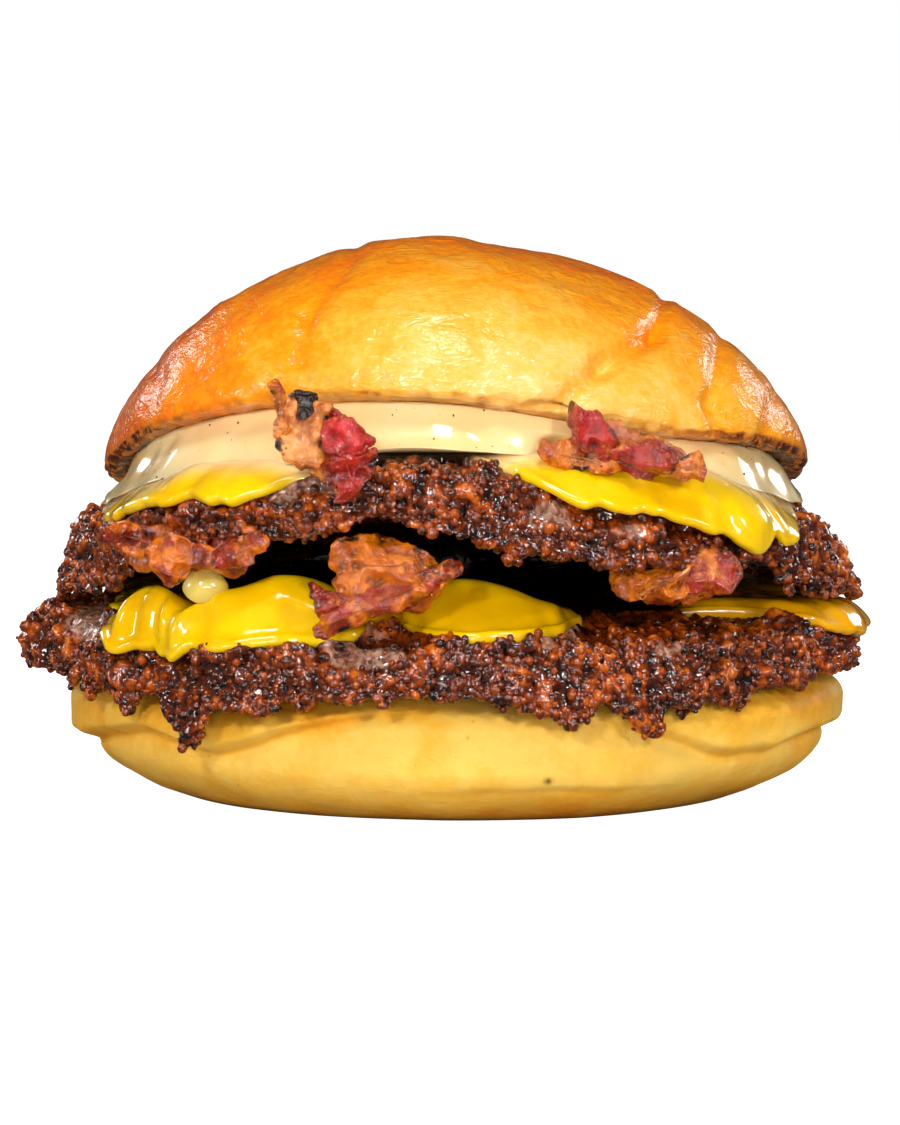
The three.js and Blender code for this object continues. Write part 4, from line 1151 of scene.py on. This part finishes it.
# Thin leaves over the front of each scrap: place, half of its spine (across, up), how lean, crisp and charred it
# is, how far its top leans back for each mm up, and the corners of its outline, clockwise, in mm (across, up)
LEAF_HALF = 0.45
LEAVES = {
    "bacon_upper_left": [
        ((-18.8, -55.0, 54.1), (0, 2.5), 0.05, 0.2, 0, 0.25, (
            (4.1, 3.8), (3.6, 2.3), (3.2, 0), (3.0, -2.3), (2.3, -4.7), (0.2, -4.9), (-1.7, -4.1), (-2.8, -3.0),
            (-3.6, -1.5), (-2.8, 0), (-3.2, 1.1), (-2.4, 2.6), (-1.9, 4.5), (-0.6, 5.3), (2.1, 4.3))),
        ((-12.6, -56.2, 53.5), (1.2, 0), 1.0, 0.0, 0, 0.2, (
            (-3.4, 1.7), (-1.3, 2.8), (0.9, 2.6), (2.8, 0.8), (3.9, -0.4), (2.8, -1.3), (1.7, -2.4), (-0.6, -2.6),
            (-2.6, -1.9), (-3.6, -0.6))),
        ((-12.4, -56.4, 48.6), (-0.4, 1.4), 0.85, 0.45, 0, 0.1, (
            (-3.2, 3.0), (-0.6, 3.0), (1.7, 3.0), (3.5, 3.4), (3.4, 0.8), (2.4, -1.1), (0.6, -3.2), (-2.1, -3.8),
            (-1.9, -2.6), (-2.8, -1.1), (-3.8, 1.1))),
        ((-18.4, -55.4, 58.1), (0, 0.3), 0.9, 1.0, 0.9, 0.3, (
            (-1.6, 0.8), (-0.8, 1.7), (0.8, 1.5), (1.9, 0.3), (1.3, -1.1), (-0.4, -2.1), (-1.4, -0.8))),
        ((-21.7, -54.8, 57.6), (0, 2.6), 0.1, 0.75, 0, 0.1, (
            (-1.4, 3.1), (-0.6, 3.7), (0.3, 2.4), (0.8, 0.6), (1.3, -1.3), (1.0, -3.6), (-0.7, -3.6), (-0.5, -0.9),
            (-0.8, 0.6), (-1.2, 1.7))),
    ],
    "bacon_upper_right": [
        ((18.1, -50.4, 50.5), (3, -0.6), 0.2, 0.8, 0, 0.1, (
            (-5.3, 0.9), (-4.5, 2.3), (-3.4, 1.9), (-1.5, 2.4), (0.4, 2.0), (2.6, 1.4), (4.9, 0.4), (5.7, -1.5),
            (4.1, -2.4), (1.9, -2.1), (-0.4, -1.7), (-2.3, -1.5), (-4.1, -0.8))),
        ((20.2, -51.4, 54.1), (0.6, 0), 0.95, 0.35, 0, 0.15, (
            (-2.6, 3.6), (-1.1, 2.6), (0.6, 2.5), (2.1, 0.9), (3.2, -0.6), (3.8, -1.9), (2.1, -2.8), (0.6, -3.0),
            (-0.9, -2.6), (-2.4, -1.5), (-3.2, 0.4), (-3.2, 1.7))),
        ((26.0, -51.2, 50.6), (3.4, -0.5), 0.9, 0.55, 0, 0.1, (
            (-5.7, 1.3), (-3.4, 1.7), (-1.5, 2.3), (0.4, 1.9), (1.9, 2.3), (3.8, 1.9), (5.3, 0.6), (5.5, -0.9),
            (5.3, -2.1), (4.1, -2.6), (1.9, -2.1), (-0.4, -1.5), (-2.6, -1.0), (-4.9, -0.4))),
        ((32.4, -50.0, 49.2), (1.4, 0), 0.0, 0.55, 0, 0.05, (
            (-2.8, 1.5), (-0.8, 1.1), (1.1, 1.9), (2.6, 2.1), (3.1, 0.4), (2.9, -1.9), (1.1, -1.9), (-0.8, -1.7),
            (-2.8, -1.3), (-3.6, 0))),
    ],
    "bacon_middle_left": [
        ((-42.2, -42.6, 38.9), (2.2, -0.6), 0.6, 0.9, 0, 0.1, (
            (-4.3, 1.1), (-2.8, 2.1), (-1.3, 2.3), (0.2, 1.7), (2.1, 0.8), (4.4, -0.6), (3.8, -1.9), (2.1, -2.4),
            (0.2, -2.1), (-1.7, -1.3), (-3.2, -0.4))),
        ((-35.2, -46.8, 36.6), (1.0, 0.4), 0.3, 1.0, 0.1, 0.2, (
            (-4.0, 2.2), (-1.9, 3.2), (0, 3.0), (1.9, 2.3), (3.8, 1.3), (5.7, 0.4), (6.6, -0.8), (4.9, -1.7),
            (2.6, -1.9), (0.8, -2.1), (-0.4, -3.4), (-1.9, -4.0), (-3.0, -2.6), (-4.5, -0.8), (-5.3, 0.6))),
        ((-27.4, -48.6, 37.4), (1.4, 0.5), 0.6, 0.95, 0, 0.2, (
            (-3.4, 0), (-1.5, 1.3), (0.4, 2.3), (3.0, 2.5), (4.3, 1.7), (4.0, 0.4), (2.3, -0.4), (1.9, -1.3),
            (0.4, -2.0), (-1.9, -2.2), (-3.4, -1.7))),
    ],
    "bacon_middle": [
        ((-8.2, -53.2, 36.0), (2.5, 0), 0.05, 0.85, 0, 0.35, (
            (-6.8, 2.2), (-6.0, 3.2), (-4.9, 3.8), (-2.3, 4.1), (0.4, 3.8), (3.0, 3.0), (5.7, 2.1), (7.5, 1.0),
            (7.4, -1.3), (4.9, -2.6), (2.3, -3.4), (-0.8, -4.1), (-3.4, -4.5), (-5.3, -3.8), (-6.8, -2.3),
            (-6.2, -0.9), (-7.0, 0.4))),
        ((-9.4, -55.6, 31.0), (6.5, 2.8), 0.6, 0.95, 0, 0.3, (
            (-7.0, 1.2), (-4.1, 1.5), (-1.1, 1.7), (1.5, 2.6), (5.3, 3.8), (8.7, 5.3), (10.9, 6.0), (12.2, 5.3),
            (11.7, 3.8), (9.8, 2.6), (7.5, 1.5), (5.7, 0), (2.6, -1.1), (-0.4, -1.9), (-2.6, -3.0), (-4.5, -3.8),
            (-6.0, -4.6), (-7.5, -4.3), (-7.9, -3.2), (-7.0, -1.9), (-7.6, -0.4))),
        ((-15.8, -56.2, 31.5), (0, 0.6), 0.7, 0.9, 0, 0.1, (
            (-2.0, 2.6), (-0.4, 1.9), (1.5, 1.0), (2.5, -0.4), (1.0, -2.1), (-0.6, -2.5), (-1.3, -0.4),
            (-1.8, 1.1))),
    ],
    "bacon_middle_right": [
        ((28.2, -46.4, 32.9), (2.6, 0), 0.25, 1.0, 0, 0.25, (
            (-5.0, 2.8), (-2.6, 2.6), (-0.4, 1.9), (1.9, 2.1), (3.8, 1.7), (5.1, 0.6), (5.1, -1.3), (2.6, -2.1),
            (0.4, -2.0), (-1.9, -2.1), (-3.8, -1.8), (-5.2, -0.2))),
        ((36.4, -45.2, 34.4), (0, 1.0), 0.7, 0.75, 0, 0.15, (
            (-4.2, 0.9), (-2.3, 2.4), (-0.8, 3.4), (0.8, 4.0), (2.3, 3.0), (3.8, 1.7), (4.0, -0.9), (3.0, -2.8),
            (1.1, -3.2), (-1.1, -2.6), (-3.4, -2.8), (-4.5, -1.3))),
        ((29.6, -47.4, 33.0), (2.8, 1.3), 0.0, 0.45, 0, 0.1, (
            (-3.4, -1.2), (-1.4, 0.1), (0.8, 0.9), (3.0, 2.1), (4.4, 2.7), (3.8, 1.4), (1.6, -0.1), (-0.6, -1.2),
            (-2.4, -2.0))),
    ],
}


def rasher(name, shape, salt, material):
    """A scrap of bacon: a fold with thin leaves lying over its front, in one mesh."""
    parts = [fold(shape, salt)]
    for index, shapes in enumerate(LEAVES.get(name, [])):
        parts.append(leaf(*shapes, salt + 31 * index + 17))
    piece = skins(name + "_rasher", parts, material)
    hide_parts(name)
    return piece


def sheet_rows(rows):
    """Shares out from the middle and the turn over the rim, row by row from the front to the back of a sheet."""
    shares = np.linspace(0.04, 1, rows)
    arcs = np.linspace(90, -90, 12)[1:-1]
    share = np.concatenate([shares, np.ones(len(arcs)), shares[::-1]])[:, None]
    turn = np.radians(np.concatenate([np.full(len(shares), 90), arcs, np.full(len(shares), -90)]))[:, None]
    return share, turn


def leaf(at, spine, lean, crisp, char_and_crease_shade, back, corners, salt):
    """One thin leaf of bacon, front to back, filled in from its outline to its spine.

    The outline is a closed spline through the corners, roughened by noise; the middle bulges by 1 - share^2, sharp
    folds come from the absolute value of noise, and the rim curls to and fro.
    """
    columns = 170
    angle = np.arange(columns) * 360 / columns
    turns = np.arange(len(corners)) * 360 / len(corners)
    across, up = np.array(corners[::-1], float).T
    edge = np.stack([ring(*zip(turns, across))(angle), 0 * angle, ring(*zip(turns, up))(angle)], axis=-1)
    spine = np.array((spine[0], 0.0, spine[1]))
    inner = np.clip(edge @ spine / max(1e-6, spine @ spine), -1, 1)[:, None] * spine
    ray = edge - inner
    length = np.linalg.norm(ray, axis=-1)
    ray = ray / length[:, None]
    length = length + 0.3 * noise(edge, 1.5, salt) + 0.2 * noise(edge, 0.7, salt + 1)
    share, turn = sheet_rows(24)
    out = (length - LEAF_HALF) * share + LEAF_HALF * np.cos(turn)
    flat = inner + out[..., None] * ray
    folds = 0.9 * (0.6 - 2 * np.abs(noise(flat, 3.6, salt + 2)))
    folds = folds + 0.45 * (0.6 - 2 * np.abs(noise(flat, 1.7, salt + 3)))
    bulge = 0.7 * (1 - share**2) + folds + 0.8 * share**3 * noise(edge, 2.4, salt + 4)
    thick = LEAF_HALF * np.sin(turn) * (1 + 0.3 * noise(flat, 2, salt + 5))
    sheet = flat + np.stack([0 * out, back * flat[..., 2] - bulge - thick, 0 * out], axis=-1)
    outward = normals(sheet)
    blisters = 0.3 * domes(sheet, 1.1, salt + 6) * smooth(0.1, 0.6, noise(flat, 3, salt + 7))
    blisters = blisters + 0.1 * noise(sheet, 0.6, salt)
    grid = sheet + blisters[..., None] * outward + np.array(at)
    marks = {
        "lean": np.clip(lean + 0.4 * noise(flat, 2.2, salt + 8) + 0.2 * noise(flat, 0.9, salt + 9), 0, 1),
        "crisp": np.clip(crisp + 0.4 * smooth(0.8, 1, share) + 0.3 * noise(flat, 3, salt + 10), 0, 1),
        # char: real char at the crisp edge, plus painted shade in the valleys of the folds
        "char_and_crease_shade": np.clip(
            char_and_crease_shade + 0.5 * smooth(0.8, 1, share) * smooth(0, 0.6, noise(edge, 1.8, salt + 11))
            + 0.5 * smooth(0.1, -0.9, folds), 0, 1
        ),
    }
    return grid, marks


def fold(shape, salt):
    """The body of a scrap, front to back: a rough outline, waved by two sines, crumpled and blistered."""
    columns = 300
    half = RASHER_HALF
    share, turn = sheet_rows(36)
    angle = np.broadcast_to(np.arange(columns) * 360 / columns, (len(share), columns))
    around = np.radians(angle)
    outline = shape["outline"]
    rim = max(outline)
    edge = np.stack([rim * np.cos(around), rim * np.sin(around), np.zeros_like(around)], axis=-1)
    reach = ring(*[(45 * i, value) for i, value in enumerate(outline)])(angle)
    reach = reach + 0.5 * noise(edge, 2.6, salt) + 0.35 * noise(edge, 1.1, salt + 1)
    out = (reach - half) * share + half * np.cos(turn)
    u = out * np.cos(around)
    v = out * np.sin(around)
    x0 = shape["at"][0]
    flat = np.stack([u, 0 * u, v], axis=-1)
    wave = shape["curl"] * (np.sin(0.42 * u + 0.5 * v + x0) + 0.5 * np.sin(0.55 * v - 0.2 * u + x0))
    crumple = 0.9 * noise(flat, 4.2, salt + 2) + 0.55 * noise(flat, 2.1, salt + 3)
    ruffle = 0.8 * smooth(0.6, 1, out / reach) * noise(edge, 3.2, salt + 4)
    thick = half * (1 + 0.25 * noise(flat, 3, salt + 5))
    sheet = np.stack([u, -wave - crumple - ruffle - thick * np.sin(turn), v], axis=-1)
    outward = normals(sheet)
    blisters = domes(sheet, 1.5, salt + 6) * 0.3 + 0.1 * domes(sheet, 0.8, salt + 7) - 0.2
    sheet = sheet + blisters[..., None] * outward
    direction, pitch, phase = shape["stripes"]
    across = u * math.cos(math.radians(direction)) + v * math.sin(math.radians(direction))
    stripes = 0.5 + 0.5 * np.sin(2 * np.pi * (across / pitch + phase) + 1.2 * noise(flat, 5, salt + 8))
    lean = np.clip(stripes + 0.2 * noise(flat, 2.4, salt + 9), 0, 1)
    char_and_crease_shade = sum(np.exp(-((u - a) ** 2 + (v - b) ** 2) / r**2) for a, b, r in shape["char_and_crease_shade"])
    crisp = np.clip(shape["crisp"] + 0.35 * smooth(0.75, 1, out / reach) + 0.3 * noise(flat, 4, salt + 10), 0, 1)
    char_and_crease_shade = char_and_crease_shade + 0.45 * smooth(0.86, 1.0, out / reach) * smooth(0, 0.6, noise(edge, 2, salt + 11))
    back, swing = math.radians(-shape["lean"]), math.radians(shape["swing"])
    tip = np.array([[1, 0, 0], [0, math.cos(back), -math.sin(back)], [0, math.sin(back), math.cos(back)]])
    spin = np.array([[math.cos(swing), -math.sin(swing), 0], [math.sin(swing), math.cos(swing), 0], [0, 0, 1]])
    # the outline runs anticlockwise seen from the front, so the rows go from the front face to the back face
    grid = sheet @ (spin @ tip).T + np.array(shape["at"])
    return grid, {"lean": lean, "crisp": crisp, "char_and_crease_shade": np.clip(char_and_crease_shade, 0, 1)}


def onion(material):
    """A bead of cooked onion: an ellipsoid drawn up to a blunt tip."""
    columns = 96
    centre = np.array((-32.2, -42.9, 32.8))
    half = np.array((3.3, 1.7, 3.0))
    rise = np.radians(np.linspace(84, -84, 48))[:, None]
    around = np.radians(np.arange(columns) * 360 / columns)
    folds = 1 + 0.02 * np.sin(3 * around + rise)
    narrow = 1 - 0.4 * smooth(-0.4, 0.8, np.sin(rise))
    ball = np.stack(
        [np.cos(rise) * np.cos(around) * folds * narrow, np.cos(rise) * np.sin(around) * folds * narrow,
         np.sin(rise) * np.ones(columns)],
        axis=-1,
    )
    piece = skin("onion_bead", centre + half * ball, {}, material)
    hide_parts("onion")
    return piece


# The stage

def softbox(name, place, size, power, aim=(0, 0, 0.04)):
    """A rectangular area light aimed at the stack."""
    data = bpy.data.lights.new(name, "AREA")
    data.shape = "RECTANGLE"
    data.size, data.size_y = size
    data.energy = power
    lamp = bpy.data.objects.new(name, data)
    lamp.location = place
    lamp.rotation_euler = (Vector(aim) - Vector(place)).to_track_quat("-Z", "Y").to_euler()
    bpy.context.scene.collection.objects.link(lamp)


def stage():
    """A white table, soft studio light and the camera."""
    table, tree, shader = new_material("table", Roughness=0.9)
    shader.inputs["Specular IOR Level"].default_value = 0.1
    shader.inputs["Emission Color"].default_value = (1, 1, 1, 1)
    rays = node(tree, "LightPath").outputs
    tree.links.new(rays["Is Camera Ray"], shader.inputs["Emission Strength"])
    # the table lights the stack from below, but hardly shows in its gloss
    tree.links.new(
        mixed(tree, rays["Is Glossy Ray"], (0.62, 0.62, 0.62, 1), (0.1, 0.1, 0.1, 1)), shader.inputs["Base Color"]
    )
    mesh = bpy.data.meshes.new("table")
    reach = 6.0
    corners = [(-reach, -reach, 0), (reach, -reach, 0), (reach, reach, 0), (-reach, reach, 0)]
    mesh.from_pydata(corners, [], [(0, 1, 2, 3)])
    mesh.materials.append(table)
    floor = bpy.data.objects.new("table", mesh)
    bpy.context.scene.collection.objects.link(floor)

    softbox("top", (0.05, -0.42, 0.88), (0.3, 0.2), 4.3)
    softbox("front_left", (-0.38, -1.05, 0.5), (0.15, 0.12), 5.0)
    softbox("front_right", (0.42, -1.05, 0.42), (0.13, 0.11), 4.1)
    softbox("low", (0.0, -1.25, 0.16), (0.44, 0.05), 3.2)
    softbox("left", (-0.9, -0.4, 0.3), (0.12, 0.24), 2.0)
    softbox("right", (0.9, -0.4, 0.3), (0.12, 0.24), 1.6)
    softbox("back_left", (-0.68, 0.76, 0.34), (0.3, 0.24), 1.2)
    softbox("back_right", (0.68, 0.76, 0.34), (0.3, 0.24), 1.2)

    world = bpy.data.worlds.new("studio")
    world.use_nodes = True
    nodes = world.node_tree
    background = nodes.nodes["Background"]
    background.inputs["Color"].default_value = (1, 1, 1, 1)
    background.inputs["Strength"].default_value = 0.04
    seen = nodes.nodes.new("ShaderNodeBackground")
    seen.inputs["Color"].default_value = (1, 1, 1, 1)
    seen.inputs["Strength"].default_value = 1.0
    rays = nodes.nodes.new("ShaderNodeLightPath")
    choice = nodes.nodes.new("ShaderNodeMixShader")
    nodes.links.new(rays.outputs["Is Camera Ray"], choice.inputs[0])
    nodes.links.new(background.outputs[0], choice.inputs[1])
    nodes.links.new(seen.outputs[0], choice.inputs[2])
    nodes.links.new(choice.outputs[0], nodes.nodes["World Output"].inputs["Surface"])
    bpy.context.scene.world = world
    bpy.context.scene.view_settings.view_transform = "Standard"

    data = bpy.data.cameras.new("camera")
    data.lens = VIEW_LENS
    data.clip_end = 20
    camera = bpy.data.objects.new("camera", data)
    away = Vector((0, -math.cos(VIEW_ELEVATION), math.sin(VIEW_ELEVATION)))
    camera.location = VIEW_TARGET + VIEW_DISTANCE * away
    camera.rotation_euler = (math.pi / 2 - VIEW_ELEVATION, 0, 0)
    bpy.context.scene.collection.objects.link(camera)
    bpy.context.scene.camera = camera


def assemble():
    """Makes every piece, and lets each ride on the one body."""
    crust, crumb, seared = crust_material(), crumb_material(), seared_material()
    melted, creamy, cured = melted_material(), creamy_material(), cured_material()
    pale, ground = pale_material(), fleck_material()
    pieces = [(heel(crumb), "crumb"), (crown(crust), "crust")]
    for level, shape, cover, salt in (
        ("lower", LOWER_PATTY, LOWER_SLICE, 100), ("upper", UPPER_PATTY, UPPER_SLICE, 200)
    ):
        covered = lambda angle, cover=cover, salt=salt: slice_edge(cover, angle, salt + 60)
        name = f"{level}_patty"
        meat, points, outward, weight = patty(name + "_meat", name, shape, covered, salt, seared)
        beads = crust_beads(name + "_crumbs", points, outward, weight, CRUMBS, salt, seared)
        melt = cheese(f"{level}_cheese_melt", f"{level}_cheese", cover, salt + 60, melted)
        pieces += [(meat, "seared"), (beads, "seared"), (melt, "melted")]
    body, points, outward = sauce(creamy)
    pieces += [(body, "creamy"), (pepper(points, outward, FLECKS, FLECK_SEED, ground), "creamy")]
    for index, (name, shape) in enumerate(SCRAPS.items()):
        pieces.append((rasher(name, shape, 600 + 20 * index, cured), "cured"))
    pieces.append((onion(pale), "pale"))
    for piece, slot in pieces:
        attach(piece, "root")


assemble()
stage()
